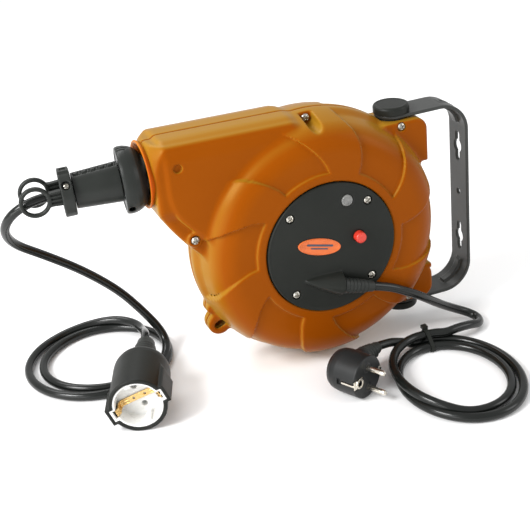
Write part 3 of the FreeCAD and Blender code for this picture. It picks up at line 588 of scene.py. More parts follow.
def screw_points(radius, height, shank, length):
    """Cross-head screw along Z: domed head with a cross recess, then a plain shank."""
    points, rows = [], []
    for share in np.linspace(0, 1, 12):
        row = []
        for c, s in ways(48):
            x, y = radius * share * c, radius * share * s
            across, along = min(abs(x), abs(y)), max(abs(x), abs(y))
            slot = max(0.0, 1 - across / (0.17 * radius)) * max(0.0, 1 - (along / (0.72 * radius)) ** 4)
            top = height * (1 - 0.75 * share ** 3) - 0.42 * radius * min(1.0, slot * 2.2)
            row.append((x, y, top))
        rows.append(add_row(points, row))
    for level, reach in ((0.0, radius), (0.0, shank), (-length, shank * 0.9)):
        rows.append(add_row(points, [(reach * c, reach * s, level) for c, s in ways(48)]))
    return points, bands(rows[::-1]) + [rows[-1][::-1]]


def screws(name, spots, radius, height, shank, node, body):
    """One mesh of several screws: spots are (head seat, direction of the head, length)."""
    parts = []
    for turn, (place, axis, length) in enumerate(spots):
        head, sides = screw_points(radius, height, shank, length)
        parts.append((head, sides, frame_of(place, axis) @ Matrix.Rotation(0.5 + 0.9 * turn, 4, "Z")))
    return dress(mesh_piece(name, *merged(parts)), SCREW, body, node)


# ---------------------------------------------------------------- front and rear shell
SHELL_CELL, SHELL_REACH = 1.0, 4.0      # mm between samples, and depth of the field kept
SHELL_GAP = 0.12                        # from the middle plane
WALL = 3.0
PIVOT = (84.0, 0.0)
COVER_FRONT = -46.0
LENS_SEAT, BUTTON_SEAT, COVER_SCREW = (16.4, 40.7), (25.5, 5.0), 35.85
PETAL_STEP = 60.0
PETAL_START, PETAL_END = 86.9, 123.3    # inner corners of one petal, degrees
PETAL_RIM = 67.6
PETAL_DEPTH = 2.6
SWEEP_RADII = [60, 67.4, 75, 82, 88.5, 96, 103, 106, 113]
START_SWEEP = [0, 0, 2.3, 5.2, 8.2, 11.6, 15.4, 17.2, 21]
END_SWEEP = [0, 0, 0.9, 2.5, 4.2, 6.6, 9.6, 11.6, 15.5]
DRUM_FACE, DRUM_RIM, DRUM_ROUND = 44.8, 113.0, 17.0
CROWN_DROP, CROWN_HALF = 8.2, 37.0
NECK_END, NECK_HALF = -141.5, 24.6
NECK_LOW = [(-146, 64), (-120, 21.5), (-96, -0.5)]
PANEL_END, PANEL_HALF = -133.0, 30.2
EAR_X, EAR_HALF_X, EAR_HALF_Y, EAR_ROUND = 84.5, 24.5, 20.0, 11.0
NECK_SCREW, DIMPLE = (-114, 29.5), (-121.4, 96)
POCKET, POCKET_R = (-1.0, 107.5), 5.6
SEATS = [(PIVOT[0], -20, 83), (PIVOT[0], -20, -83), (NECK_SCREW[0], -27.2, NECK_SCREW[1])]
SEAT_R = 3.9


def petal_mask(r, angle):
    """1 inside the fan of recessed petals, 0 on the ribs between them."""
    start = PETAL_START + np.interp(r, SWEEP_RADII, START_SWEEP)
    end = PETAL_END + np.interp(r, SWEEP_RADII, END_SWEEP)
    local = np.mod(angle - start, PETAL_STEP)
    width = end - start
    arc = r * math.pi / 180
    inside = np.minimum(local * arc, (width - local) * arc)
    inside = np.minimum(inside, r - PETAL_RIM)
    return ease(inside, -0.5, 0.9)


def drum_field(x, y, z):
    """Revolved drum with flat faces, a round shoulder and a crowned rim."""
    r = np.sqrt(x * x + z * z)
    side = np.abs(y)
    crown = DRUM_RIM - CROWN_DROP * (side / CROWN_HALF) ** 1.7
    body = soft_max(side - DRUM_FACE, (r - crown) * 0.93, DRUM_ROUND)
    angle = np.degrees(np.arctan2(z, x))
    petals = petal_mask(r, angle) * ease(side, 5.0, 16.0)
    return body + petals * PETAL_DEPTH


def ramp_height(x):
    """Level of the neck's top, which falls slightly towards the drum."""
    return 114.2 - 0.026 * x


def neck_field(x, y, z):
    """Neck with a raised panel on each side and a lower band round its free end."""
    side = np.abs(y)
    top = z - ramp_height(x)
    low = soft_max(beyond(x, z, *NECK_LOW[:2]), beyond(x, z, *NECK_LOW[1:]), 8.0)
    core = soft_max(low, NECK_END - x, 3.0)
    core = soft_max(core, top + 2.6, 3.0)
    core = soft_max(core, side - NECK_HALF - 4.0 * ease(z, 48, 62), 5.0)
    round_end = np.sqrt(y * y + np.maximum(z - OUTLET_Z, 0) ** 2) - 28.0
    core = soft_max(core, round_end - np.maximum(x + 142.0, 0) * 0.95, 2.5)
    inset = soft_max(beyond(x, z, (-132.5, 60), (-108, 24)), beyond(x, z, (-110, 27), (-92, 14)), 16.0)
    panel = soft_max(inset, PANEL_END - x, 10.0)
    crown = soft_max(top, side - PANEL_HALF, 19.0)
    panel = soft_max(panel, crown, 5.0)
    right = x + 12.0 - 0.5 * np.maximum(100 - z, 0)
    neck = soft_max(soft_min(core, panel, 1.5), right, 10.0)
    return np.maximum(neck, -8 - z)


def ear_field(x, y, z):
    """Upper and lower ears that hold the pivots, square where they meet the drum's right side."""
    low = np.where(z > 0, 46.5, -87.5)
    high = np.where(z > 0, 87.5, -55.0)
    corner = np.where((x > EAR_X) & (np.abs(z) < 60), 1.0, EAR_ROUND)
    dx = np.abs(x - EAR_X) - EAR_HALF_X + corner
    dz = np.abs(z - (low + high) / 2) - (high - low) / 2 + corner
    flat = np.sqrt(np.maximum(dx, 0) ** 2 + np.maximum(dz, 0) ** 2)
    flat = flat + np.minimum(np.maximum(dx, dz), 0) - corner
    return soft_max(flat, np.abs(y) - EAR_HALF_Y, 3.0)


def lug_field(x, y, z):
    """Tab with a tether hole, low on the drum's left."""
    tab = to_segment(x, z, (-95.8, -65.4), (-80, -52)) - 10.6
    shoulder = to_segment(x, z, (-100.5, -49), (-90, -44)) - 5.5
    return soft_max(soft_min(tab, shoulder, 4.0), np.abs(y) - 8.0, 3.0)


def screw_seats(shell, x, y, z):
    """Seats of the screws in the ears and neck, and the plain dimple near the mouth."""
    for px, py, pz in SEATS:
        seat = np.maximum(column(x, z, (px, pz), SEAT_R), y - (py + 2.8))
        shell = carve(shell, seat, 0.8)
    return carve(shell, np.maximum(column(x, z, DIMPLE, 3.8), y + 27.6), 0.8)


def shell_field(x, y, z):
    """Both shells as one hollow body, with its openings and seats."""
    solid = soft_min(drum_field(x, y, z), neck_field(x, y, z), 4.0)
    solid = soft_min(solid, ear_field(x, y, z), 4.0)
    solid = soft_min(solid, lug_field(x, y, z), 3.0)
    hollow = solid + WALL
    neck_boss = soft_max(column(x, z, NECK_SCREW, 6.4), np.abs(y) - 27.5, 2.0)
    solid = soft_min(solid, neck_boss, 2.5)
    bosses = np.minimum(neck_boss, column(x, z, POCKET, 9.0))
    bosses = np.minimum(bosses, np.maximum(column(x, z, DIMPLE, 6.0), 23.5 - np.abs(y)))
    for px, _, pz in SEATS[:2]:
        bosses = np.minimum(bosses, soft_max(column(x, z, (px, pz), 8.0), 74 - np.abs(z), 0.5))
    shell = np.maximum(solid, np.minimum(-hollow, bosses))
    pocket = np.where(z < POCKET[1], column(x, z, POCKET, POCKET_R), np.abs(x - POCKET[0]) - POCKET_R)
    shell = carve(shell, soft_max(pocket, y + 9.0, 2.0), 1.5)
    shell = np.maximum(shell, -np.maximum(column(x, z, (0, 0), 59.7), y + 42.0))
    shell = np.maximum(shell, -np.maximum(column(x, z, (0, 0), 44.0), y + 36.0))
    shell = np.maximum(shell, -np.maximum(column(y, z, (0, OUTLET_Z), 23.6), x + 128.0))
    shell = screw_seats(shell, x, y, z)
    shell = carve(shell, to_segment(x, z, (-97.6, -66.2), (-94, -64.6)) - 3.4, 0.8)
    shell = np.maximum(shell, -np.maximum(column(x, y, PIVOT, 16.0), 87.5 - np.abs(z)))
    shell = np.maximum(shell, -np.maximum(column(x, y, PIVOT, 5.05), 75.8 - np.abs(z)))
    seam = 0.55 * (1 - ease(np.abs(y), 0.2, 1.3))
    return shell + np.where(solid > -1.2, seam, 0)


def front_field(x, y, z):
    return np.maximum(shell_field(x, y, z), SHELL_GAP + y)


def rear_field(x, y, z):
    return np.maximum(shell_field(x, y, z), SHELL_GAP - y)


def add_shells():
    parts = (("shell_front", "front_shell", front_field, -48, 2),
             ("shell_rear", "rear_shell", rear_field, -2, 48))
    for name, node, field, near, far in parts:
        shell = moulded(name, field, (-150, near, -118), (114, far, 122), SHELL_CELL, reach=SHELL_REACH)
        dress(shell, ORANGE, "housing", node, sharp=60)


add_shells()

# ---------------------------------------------------------------- cover, badge, relief, caps and strap
TOWARDS = (0, -1, 0)
RELIEF_AXIS = (math.cos(math.radians(17)), 0, -math.sin(math.radians(17)))
HOOD_TIP = (-27.5, COVER_FRONT, -24.5)
HOOD_LONG = 33.0
COVER_SPOTS = [(sx * COVER_SCREW, sz * COVER_SCREW) for sx in (1, -1) for sz in (1, -1)]


def hood_field(x, y, z):
    """Half teardrop that grows from the cover and ends in a flat mouth round the relief."""
    along = (x - HOOD_TIP[0]) * RELIEF_AXIS[0] + (z - HOOD_TIP[2]) * RELIEF_AXIS[2]
    across = (x - HOOD_TIP[0]) * -RELIEF_AXIS[2] + (z - HOOD_TIP[2]) * RELIEF_AXIS[0]
    share = np.clip(along / HOOD_LONG, 0, 1)
    half = 10.4 * share ** 0.72
    rise = 14.6 * share ** 0.62
    out = COVER_FRONT - y
    bow = np.sqrt((across / (half + 0.35)) ** 2 + (np.maximum(out, 0) / (rise + 0.35)) ** 2)
    body = soft_max((bow - 1) * (half + 0.35) * 0.72, along - HOOD_LONG, 0.8)
    return soft_max(np.maximum(body, 0.5 - along), y + 43.0, 0.5)


def cover_field(x, y, z):
    """Round plate with a raised rim, the hood, screw seats and the lens and button holes."""
    r = np.sqrt(x * x + z * z)
    disc = soft_max(r - 58.9, slab(y, COVER_FRONT, -42.1), 0.9)
    rim = np.sqrt((r - 57.9) ** 2 + (y + 45.6) ** 2) - 0.75
    body = soft_min(disc, rim, 0.6)
    body = soft_min(body, hood_field(x, y, z), 1.2)
    for spot in COVER_SPOTS:
        body = carve(body, np.maximum(column(x, z, spot, 4.1), y + 43.8), 0.5)
    collar = np.maximum(column(x, z, LENS_SEAT, 6.6), slab(y, -46.5, -43))
    body = soft_min(body, collar, 0.5)
    body = np.maximum(body, -column(x, z, LENS_SEAT, 5.25))
    return carve(body, column(x, z, BUTTON_SEAT, 5.1), 0.5)


def add_cover():
    cover = moulded("control_cover", cover_field, (-61, -62, -61), (61, -41, 61), 0.6)
    dress(cover, BLACK, "housing", "front_cover", sharp=60)
    lens = [(0, -4.0), (5.1, -4.0), (5.1, 0.6), (4.7, 1.5), (3.6, 1.9), (3.5, 1.5), (2.0, 1.9), (0, 2.0)]
    place = frame_of((LENS_SEAT[0], COVER_FRONT, LENS_SEAT[1]), TOWARDS)
    glass = turned_piece("lens_grey", lens, place, steps=48, radius=0.3)
    dress(glass, LENS, "housing", "indicator_lens")
    spots = [((px, COVER_FRONT + 1, pz), TOWARDS, 8) for px, pz in COVER_SPOTS]
    screws("screws_cover", spots, 3.3, 1.6, 1.7, "cover_screws", "housing")
    seats = [((PIVOT[0], -18.4, 83), TOWARDS, 27), ((PIVOT[0], -18.4, -83), TOWARDS, 27),
             ((POCKET[0], -10.4, POCKET[1]), TOWARDS, 18),
             ((NECK_SCREW[0], -27.6, NECK_SCREW[1]), TOWARDS, 36)]
    screws("screws_shell", seats, 3.5, 2.0, 1.8, "shell_screws", "housing")
    button = [(0, -7.6), (3, -7.6), (3, -7), (4.95, -7), (4.95, 4.6), (4.4, 5.7), (2.2, 5.9), (0, 5.7)]
    place = frame_of((BUTTON_SEAT[0], COVER_FRONT, BUTTON_SEAT[1]), TOWARDS)
    cap = turned_piece("button_cap", button, place, steps=48, radius=0.5)
    dress(cap, RED, "button", "reset_button")


BADGE_HALF, BADGE_TILT = (20.0, 7.6), math.radians(14.8)
BADGE_ROWS = [(1.0, 0.05), (1.0, 0.75), (0.965, 1.05), (0.935, 1.0), (0.915, 0.72), (0.5, 0.78), (0.0, 0.8)]
BADGE_BARS = ((1.4, 11.5, 0.9), (-1.6, 7.5, 0.6))      # level, half length and half thickness


def add_badge():
    """Oval plate with a raised rim, and two plain bars in place of a name."""
    place = frame_of((-11.8, COVER_FRONT, 4.5), TOWARDS, (math.sin(BADGE_TILT), 0, math.cos(BADGE_TILT)))
    points, rows = [], []
    for share, height in BADGE_ROWS:
        oval = [(BADGE_HALF[0] * share * c, BADGE_HALF[1] * share * s, height) for c, s in ways(96)]
        rows.append(add_row(points, oval))
    plate = mesh_piece("badge_oval", points, bands(rows) + [rows[0][::-1]], place)
    dress(plate, BADGE, "housing", "badge")
    points, faces = [], []
    for level, half, thick in BADGE_BARS:
        outline = [(math.copysign(half, c) + thick * c, level + thick * s) for c, s in ways(24, 0.5)]
        rows = [add_row(points, [(*spot, height) for spot in outline]) for height in (0.7, 1.0)]
        faces += [rows[1]] + bands(rows)
    dress(mesh_piece("badge_bars", points, faces, place), INK, "housing", "")


def add_relief():
    """Ribbed sleeve round the supply lead where it leaves the hood."""
    profile = [(4.1, 0.3), (7.0, 0.3)]
    for n in range(6):
        reach = 1.2 + 3.6 * n
        radius = 7.0 - 0.22 * n
        profile += [(radius, reach), (radius, reach + 2.4)]
        profile += [(radius - 0.75, reach + 2.7), (radius - 0.8, reach + 3.3)]
    profile += [(5.5, 23.2), (5.1, 25), (4.7, 29.6), (4.1, 30)]
    place = frame_of((4.2, -53.2, -33.97), RELIEF_AXIS)
    sleeve = turned_piece("gland_sleeve", profile, place, steps=64, radius=0.35)
    dress(sleeve, MOULDED, "housing", "strain_relief")


def add_caps():
    """Low round caps over the pivots."""
    profile = [(0, 96), (5, 96), (5, 92.1), (16, 92.1), (16, 97.2), (15.2, 98.6), (13.9, 99.2), (13.0, 99.2),
               (12.6, 98.9), (11.8, 98.85), (0, 99.0)]
    cap = lathe(rounded_profile(profile, 0.35))
    parts = [(*cap, frame_of((*PIVOT, 0), (0, 0, sign), (0, 1, 0))) for sign in (1, -1)]
    dress(mesh_piece("caps_pivot", *merged(parts)), BLACK, "bracket", "pivot_caps")


STRAP_OUT, STRAP_HALF, STRAP_THICK, WALL_X, BEND = 92.0, 15.0, 3.0, 152.0, 27.0
KEYHOLE_Z = 45.0


def strap_field(x, y, z):
    """Flat bar bent into a C, with tapered corners, pressed ribs, keyholes and pivot holes."""
    side = np.abs(z)
    dx = np.maximum(x - (WALL_X - BEND), 0)
    dz = np.maximum(side - (STRAP_OUT - BEND), 0)
    bend = np.sqrt(dx * dx + dz * dz)
    on_bend = (dx > 0) & (dz > 0)
    outer = np.where(on_bend, bend - BEND, np.maximum(x - WALL_X, side - STRAP_OUT))
    outer = np.maximum(outer, -9)
    bar = np.maximum(outer, -outer - STRAP_THICK)
    arm_end = np.where(x < PIVOT[0], column(x, y, PIVOT, STRAP_HALF), np.abs(y) - STRAP_HALF)
    bar = soft_max(bar, arm_end, 0.7)
    turn = np.degrees(np.arctan2(dz, dx))
    rib = np.maximum(np.abs(y) - 3.6, np.abs(bend - BEND + STRAP_THICK) - 2.6)
    rib = np.maximum(rib, only(on_bend, (np.abs(turn - 45) - 34) * 0.4))
    bar = soft_min(bar, rib, 2.5)
    groove = np.maximum(np.abs(y) - 1.8, only(on_bend, -(outer + 1.6)))
    groove = np.maximum(groove, only(on_bend, (np.abs(turn - 45) - 30) * 0.4))
    bar = carve(bar, groove, 1.6)
    bar = carve(bar, column(x, y, PIVOT, 5.1), 0.4)
    plate = x - 144
    bar = carve(bar, only(plate > 0, column(y, z, (0, 0), 2.75)), 0.4)
    slot = np.sqrt(y * y + np.maximum(np.abs(side - KEYHOLE_Z) - 11, 0) ** 2) - 3.0
    eye = column(y, side, (0, KEYHOLE_Z), 6.0)
    return carve(bar, only(plate > 0, np.minimum(slot, eye)), 0.4)


def add_strap():
    strap = moulded("wall_strap", strap_field, (67, -17, -94), (154, 17, 94), 0.6)
    dress(strap, STRAP, "bracket", "bracket_strap", sharp=55)


add_cover()
add_badge()
add_relief()
add_caps()
add_strap()


# ---------------------------------------------------------------- cable stop and the mouth it rests in
STOP_YAW, STOP_DIP = math.radians(7.5), math.radians(2.0)
STOP_INWARD = (math.cos(STOP_YAW) * math.cos(STOP_DIP), -math.sin(STOP_YAW) * math.cos(STOP_DIP),
               math.sin(STOP_DIP))
STOP_FACE = (-162.4, 1.6, OUTLET_Z - 2.0)
STOP_PLACE = frame_of(STOP_FACE, STOP_INWARD)
DOME_RADII = [26.8, 27.5, 28.1, 28.2, 28.0, 27.1, 25.6, 23.5, 20.5, 16.6, 11.8, 6.0]
DOME_DEPTHS = [0.0, 0.5, 2.5, 4.5, 7.0, 10.5, 13.6, 16.4, 19.0, 21.2, 22.7, 23.2]
LIP_X = -139.5
BARREL_LONG = 38.5
COLLAR_NEAR, COLLAR_FAR = -39.0, -49.0
SCREW_WAY = (-math.cos(math.radians(38)), math.sin(math.radians(38)))
SEAT_DEPTH, SEAT_LEVEL = 16.6, -44.0
BORE = 4.3                     # for the cord, through the whole stop


def dome_field(x, y, z):
    """Mushroom dome: flat face at z = 0, crown towards the mouth."""
    r = np.sqrt(x * x + y * y)
    outline = [(-3.0, 0.0)] + list(zip(DOME_RADII, DOME_DEPTHS)) + [(-3.0, 23.4)]
    body = outline_field(r, z, outline)
    body = carve(body, np.maximum(r - 24.0, z - 0.7), 0.4)
    body = carve(body, np.maximum(np.sqrt((y + 17.6) ** 2 + (z - 3.9) ** 2) - 2.7, x + 12), 0.5)
    seam = np.maximum(np.abs(x) - 0.35, 26.6 - r)
    body = carve(body, seam, 0.4)
    notch = common(np.abs(np.abs(x + 2.2) - 2.0) - 0.4, 26.9 - r, np.abs(z - 4.6) - 3.4)
    body = carve(body, only(y > 0, notch), 0.4)
    return np.maximum(body, BORE - r)


def barrel_field(x, y, z):
    """Tapered barrel whose upper seam is a row of square teeth."""
    r = np.sqrt(x * x + y * y)
    radius = 17.0 + 2.2 * z / BARREL_LONG
    body = soft_max((r - radius) * 0.998, slab(z, -BARREL_LONG, -0.05), 0.4)
    phase = np.mod(z + BARREL_LONG, 7.2)
    tooth = np.maximum(np.abs(phase - 3.6) - 1.9, slab(x, -3.6, 0.5))
    tooth = np.maximum(tooth, r - radius - 1.0)
    toothed = (y > 0) & (z > -37) & (z < -1.5)
    tooth = only(toothed, tooth)
    groove = np.maximum(np.abs(np.abs(phase - 3.6) - 2.5) - 0.35, slab(x, -4.4, 0.5))
    groove = np.maximum(groove, radius - 0.7 - r)
    back = np.maximum(np.abs(x + 4.2) - 0.35, radius - 0.7 - r)
    cuts = only(toothed, np.minimum(groove, back))
    body = carve(soft_min(body, tooth, 0.3), cuts, 0.3)
    return np.maximum(body, BORE - r)


def near_half(x, y, z):
    return np.maximum(barrel_field(x, y, z), x - 0.5)


def far_half(x, y, z):
    return np.maximum(barrel_field(x, y, z), 0.6 - x)


def collar_field(x, y, z):
    """Plate-like collar with a split tab on top and a screw seat in front."""
    r = np.sqrt(x * x + y * y)
    body = soft_max(r - 19.8, slab(z, COLLAR_FAR, COLLAR_NEAR - 0.05), 1.4)
    tab = common(slab(x, -5.5, 4.0), slab(y, 14, 20.8), slab(z, COLLAR_FAR + 0.4, COLLAR_NEAR - 0.6))
    body = soft_min(body, tab, 0.8)
    cut = common(slab(x, -3.2, 1.6), 19.9 - y, slab(z, COLLAR_FAR + 2.6, COLLAR_NEAR - 2.6))
    body = carve(body, cut, 0.5)
    out = x * SCREW_WAY[0] + y * SCREW_WAY[1]
    seat = np.hypot(x * SCREW_WAY[1] - y * SCREW_WAY[0], z - SEAT_LEVEL) - 3.7
    body = carve(body, np.maximum(seat, SEAT_DEPTH - out), 0.6)
    rim = common(r - 17.2, 15.9 - r, z - (COLLAR_FAR + 0.9))
    body = carve(body, rim, 0.4)
    return np.maximum(body, BORE - r)


def eyelet_field(x, y, z):
    """Finger ring lying in the y-z plane with a grooved flat stem towards the collar."""
    r = np.sqrt(y * y + z * z)
    ring = np.sqrt((np.abs(r - 11.35) / 1.75) ** 2.4 + (np.abs(x) / 2.5) ** 2.4)
    ring = (ring - 1) * 1.6
    stem = common(slab(z, 10.5, 22.4), np.abs(y) - 5.3 - 0.05 * z, np.abs(x) - 2.5)
    for level in (-3.0, 0.4, 3.6):
        bar = np.maximum(np.abs(y - level) - 0.75, slab(z, 12.8, 23))
        stem = carve(stem, np.maximum(bar, 1.2 - np.abs(x)), 0.5)
    return soft_min(ring, stem, 1.6)


def add_stop():
    dome = moulded("dome_moulding", dome_field, (-30, -30, -1.5), (30, 30, 25), 0.5, STOP_PLACE)
    dress(dome, DOME_BLACK, "stop", "stop_dome", sharp=50)
    for side, field, low, high in (("front", near_half, -19, 1.6), ("rear", far_half, -0.5, 19)):
        half = moulded("barrel_" + side, field, (low, -19, -40), (high, 19.5, 1), 0.45, STOP_PLACE)
        dress(half, DOME_BLACK, "stop", "stop_barrel_" + side, sharp=50)
    collar = moulded("collar_clamp", collar_field, (-22, -22, -50), (22, 23, -37), 0.5, STOP_PLACE)
    dress(collar, DOME_BLACK, "stop", "stop_collar", sharp=50)
    depth = SEAT_DEPTH + 0.1
    seat = STOP_PLACE @ Vector((depth * SCREW_WAY[0], depth * SCREW_WAY[1], SEAT_LEVEL))
    towards = STOP_PLACE.to_3x3() @ Vector((*SCREW_WAY, 0))
    screws("screw_collar", [(seat, towards, 9)], 2.9, 1.7, 1.6, "stop_screw", "stop")
    for name, side, shift, drop in (("front", -10.0, -70.5, 1.0), ("rear", 10.0, -70.0, 1.4)):
        place = STOP_PLACE @ Matrix.Translation((side, drop, shift))
        ring = moulded("ring_" + name, eyelet_field, (-4, -15, -15), (4, 15, 24), 0.4, place)
        dress(ring, DOME_BLACK, "stop", "eyelet_" + name, sharp=60)


def add_lip():
    """Flared mouth of the neck, which the stop's dome rests in."""
    profile = [(24.0, 1.5), (24.2, -0.4), (26.2, -1.2), (27.0, -2.8), (28.2, -3.8), (28.9, -4.9),
               (28.6, -5.8), (27.4, -6.0), (25.8, -5.2), (23.2, -2.0), (20.6, 2.6), (21.2, 3.0),
               (24.0, 3.0), (24.0, 1.5)]
    place = frame_of((LIP_X, 0, OUTLET_Z), (1, 0, 0))
    lip = turned_piece("mouth_lip", profile, place, 120, 0.8)
    dress(lip, LIP, "housing", "outlet_ring", sharp=60)


add_stop()
add_lip()


# ---------------------------------------------------------------- coupler on the floor
def level_frame(origin, heading, roll=0.0):
    """Z runs level at heading degrees, Y is up before the roll about Z."""
    turn = math.radians(heading)
    z = Vector((math.cos(turn), math.sin(turn), 0))
    x = Vector((-math.sin(turn), math.cos(turn), 0))
    base = Matrix((x, Vector((0, 0, 1)), z)).transposed().to_4x4()
    return Matrix.Translation(origin) @ base @ Matrix.Rotation(math.radians(roll), 4, "Z")


COUPLER = level_frame((-191, -60, FLOOR_Z + 25), 69.6, 68)
COUPLER_SIDE = [(-3, 0), (24.2, 0), (25, 0.8), (25, 50), (24.6, 54.5), (23.2, 58.5), (20.4, 62),
                (15.5, 65.6), (11.4, 67.8), (9.6, 69.6), (9.3, 74), (-3, 74)]
CONTACT = 9.5                  # half the distance between the two contacts


def coupler_field(x, y, z):
    """Round body with a key block on two sides, its bore and slots behind."""
    r = np.sqrt(x * x + y * y)
    body = outline_field(r, z, COUPLER_SIDE)
    slant = (z - 51 + np.maximum(np.abs(y) - 17.5, 0) * 2.2) * 0.41
    block = common(np.abs(x) - 8.2, np.abs(y) - 27.6, 0.1 - z, slant)
    body = soft_min(body, block, 1.0)
    line = np.maximum(np.abs(np.abs(x) - 8.9) - 0.45, 23.8 - np.abs(y))
    body = carve(body, np.maximum(line, z - 47), 0.6)
    for level in (63.5, 71.5):
        slit = np.maximum(np.abs(z - level) - 0.8, 6.9 + (71.5 - level) * 1.05 - r)
        body = carve(body, np.maximum(slit, -y), 0.5)
    bore = np.maximum(r - 21.7, z - 31)
    keys = common(np.abs(x) - 6.0, np.abs(y) - 25.0, z - 5)
    return np.maximum(body, -np.minimum(bore, keys))


def insert_field(x, y, z):
    """White inner part: rim with two keys, round well, guide ridges and contact holes."""
    r = np.sqrt(x * x + y * y)
    body = np.maximum(r - 21.5, slab(z, 0.9, 29.9))
    keys = common(np.abs(x) - 5.8, np.abs(y) - 24.7, slab(z, 0.9, 4.8))
    body = soft_min(body, keys, 0.3)
    well = np.maximum(r - 19.7, z - 17.5)
    ridge = common(np.abs(y) - 2.6, 16.6 - np.abs(x), 2.5 - z)
    well = carve(well, ridge, 0.8)
    channel = common(np.abs(x) - 3.9, np.abs(y) - 22.6, z - 17.5)
    well = soft_min(well, channel, 0.6)
    body = carve(body, well, 0.9)
    for side in (1, -1):
        hole = column(x, y, (side * CONTACT, 0), 2.6)
        body = carve(body, np.maximum(hole, z - 28), 0.5)
    return carve(body, r - 1.6 + np.maximum(z - 27, 0), 0.3)


CLIP_PATH = [(20.4, 3.6), (18.0, 6.2), (18.6, 9.5), (18.2, 14.2), (16.4, 16.6), (-16.4, 16.6), (-18.2, 14.2),
             (-18.6, 9.5), (-18.0, 6.2), (-20.4, 3.6)]


def clip_field(x, y, z):
    """Bent earth strip with two rivet holes and ribs pressed along its ends."""
    best = np.full(x.shape, 1e9)
    for first, second in zip(CLIP_PATH, CLIP_PATH[1:]):
        best = np.minimum(best, to_segment(y, z, first, second))
    ribs = 0.28 * np.cos(x * 2.5) * ease(np.abs(y), 8.5, 11.5)
    body = soft_max(best - 0.62 - ribs, np.abs(x) - 3.0, 0.4)
    for level in (5.4, -5.1):
        body = carve(body, np.hypot(x, y - level) - 1.05, 0.3)
    return body


def relief_profile(start, length, wide, narrow, ribs):
    """Tapered ribbed sleeve round a cord, from its wide end at start."""
    profile = [(4.0, start), (wide, start)]
    pitch = (length * 0.62) / ribs
    for n in range(ribs):
        radius = wide - (wide - narrow) * n / (ribs + 1)
        reach = start + 0.8 + pitch * n
        profile += [(radius, reach), (radius, reach + pitch * 0.62), (radius - 1.0, reach + pitch * 0.70),
                    (radius - 1.05, reach + pitch * 0.92)]
    end = start + length
    profile += [(narrow + 0.2, start + length * 0.66), (narrow - 0.3, end - 3), (4.5, end - 0.3), (4.0, end)]
    return profile


def add_coupler():
    body = moulded("coupler_housing", coupler_field, (-27, -29, -1.5), (27, 29, 75.5), 0.6, COUPLER)
    dress(body, COUPLER_BLACK, "stop", "coupler_body", sharp=50)
    insert = moulded("coupler_well", insert_field, (-23, -26, -1), (23, 26, 31), 0.5, COUPLER)
    dress(insert, WHITE, "stop", "coupler_insert", sharp=50)
    clip = moulded("coupler_clip", clip_field, (-4.5, -22, 1), (4.5, 22, 19), 0.3, COUPLER)
    dress(clip, BRASS, "stop", "coupler_earth_strip", sharp=50)
    sleeve = turned_piece("coupler_sleeve", relief_profile(74, 31, 12.0, 8.4, 4), COUPLER, 64, 0.35)
    dress(sleeve, MOULDED, "stop", "coupler_relief")
    return [body, insert, clip, sleeve]


# ---------------------------------------------------------------- plug on the floor
PLUG = level_frame((-2, -107, FLOOR_Z + 19), -62.5)
PLUG_SIDE = [(-3, 0), (18.2, 0), (19, -0.8), (19, -23), (18.2, -28.0), (16.4, -31.5), (13.5, -33.8),
             (-3, -34)]
LEAD_LEVEL = -22.5             # of the cord's neck, below the plug's face
EARTH = (-11.5, 0.0)           # earth hole in the plug's face


def plug_field(x, y, z):
    """Round plug body with a side neck, clip slots and gripping notches on its rim."""
    r = np.sqrt(x * x + y * y)
    body = outline_field(r, z, PLUG_SIDE)
    neck = np.maximum(column(y, z, (0, LEAD_LEVEL), 13.0 - 0.16 * np.clip(x, 0, 24)), slab(x, 0, 24))
    body = soft_min(body, np.maximum(neck, z + 6.0), 3.5)
    cheek = common(np.abs(y) - 1.5, np.abs(x) - 19.6, slab(z, -15.2, 2.0))
    cheek = np.maximum(cheek, 15.8 - np.abs(x))
    body = carve(body, cheek, 0.4)
    shelf = common(np.abs(y) - 4.6, 6.0 - np.abs(x), -1.2 - z)
    body = carve(body, only(x < 0, shelf), 0.4)
    pocket = common(np.abs(y) - 2.6, slab(z, -18.6, -14.6), 16.6 + x)
    body = carve(body, pocket, 0.4)
    hole = np.maximum(column(x, y, EARTH, 2.6), -10 - z)
    body = carve(body, hole, 0.4)
    turn = np.degrees(np.arctan2(y, x))
    teeth = np.maximum(np.hypot(np.mod(turn + 90, 9.0) - 4.5, (r - 19.3) * 3) - 2.4, -3.0 - z) * 0.33
    body = carve(body, only((turn > -88) & (turn < -43), teeth), 0.3)
    for side in (1, -1):
        seat = column(x, y, (0, CONTACT * side), 0)
        body = soft_min(body, soft_max(seat - 4.0, slab(z, -3, 0.6), 0.6), 0.6)
        body = np.maximum(body, -np.maximum(seat - 1.95, -15.5 - z))
    return body


def earth_clip_field(x, y, z):
    """Side spring that folds over the face into a ring round the earth hole."""
    side = common(np.abs(y) - 0.9, np.abs(x + 18.3) - 0.9, slab(z, -13.9, -0.4))
    leaf = common(np.abs(y) - 3.9, slab(x, -18.4, -6.6), np.abs(z + 0.55) - 0.5)
    clip = soft_min(side, leaf, 0.8)
    ring = np.maximum(np.abs(column(x, y, EARTH, 3.7)) - 1.0, np.abs(z - 0.1) - 0.9)
    clip = soft_min(clip, ring, 0.5)
    return carve(clip, column(x, y, EARTH, 2.7), 0.3)


def far_clip_field(x, y, z):
    """Plain side spring on the plug's other side."""
    side = common(np.abs(y) - 0.9, np.abs(x - 18.3) - 0.9, slab(z, -13.9, 0.5))
    foot = common(np.abs(y) - 2.4, np.abs(x - 17.2) - 1.4, np.abs(z + 0.2) - 0.6)
    return soft_min(side, foot, 0.5)


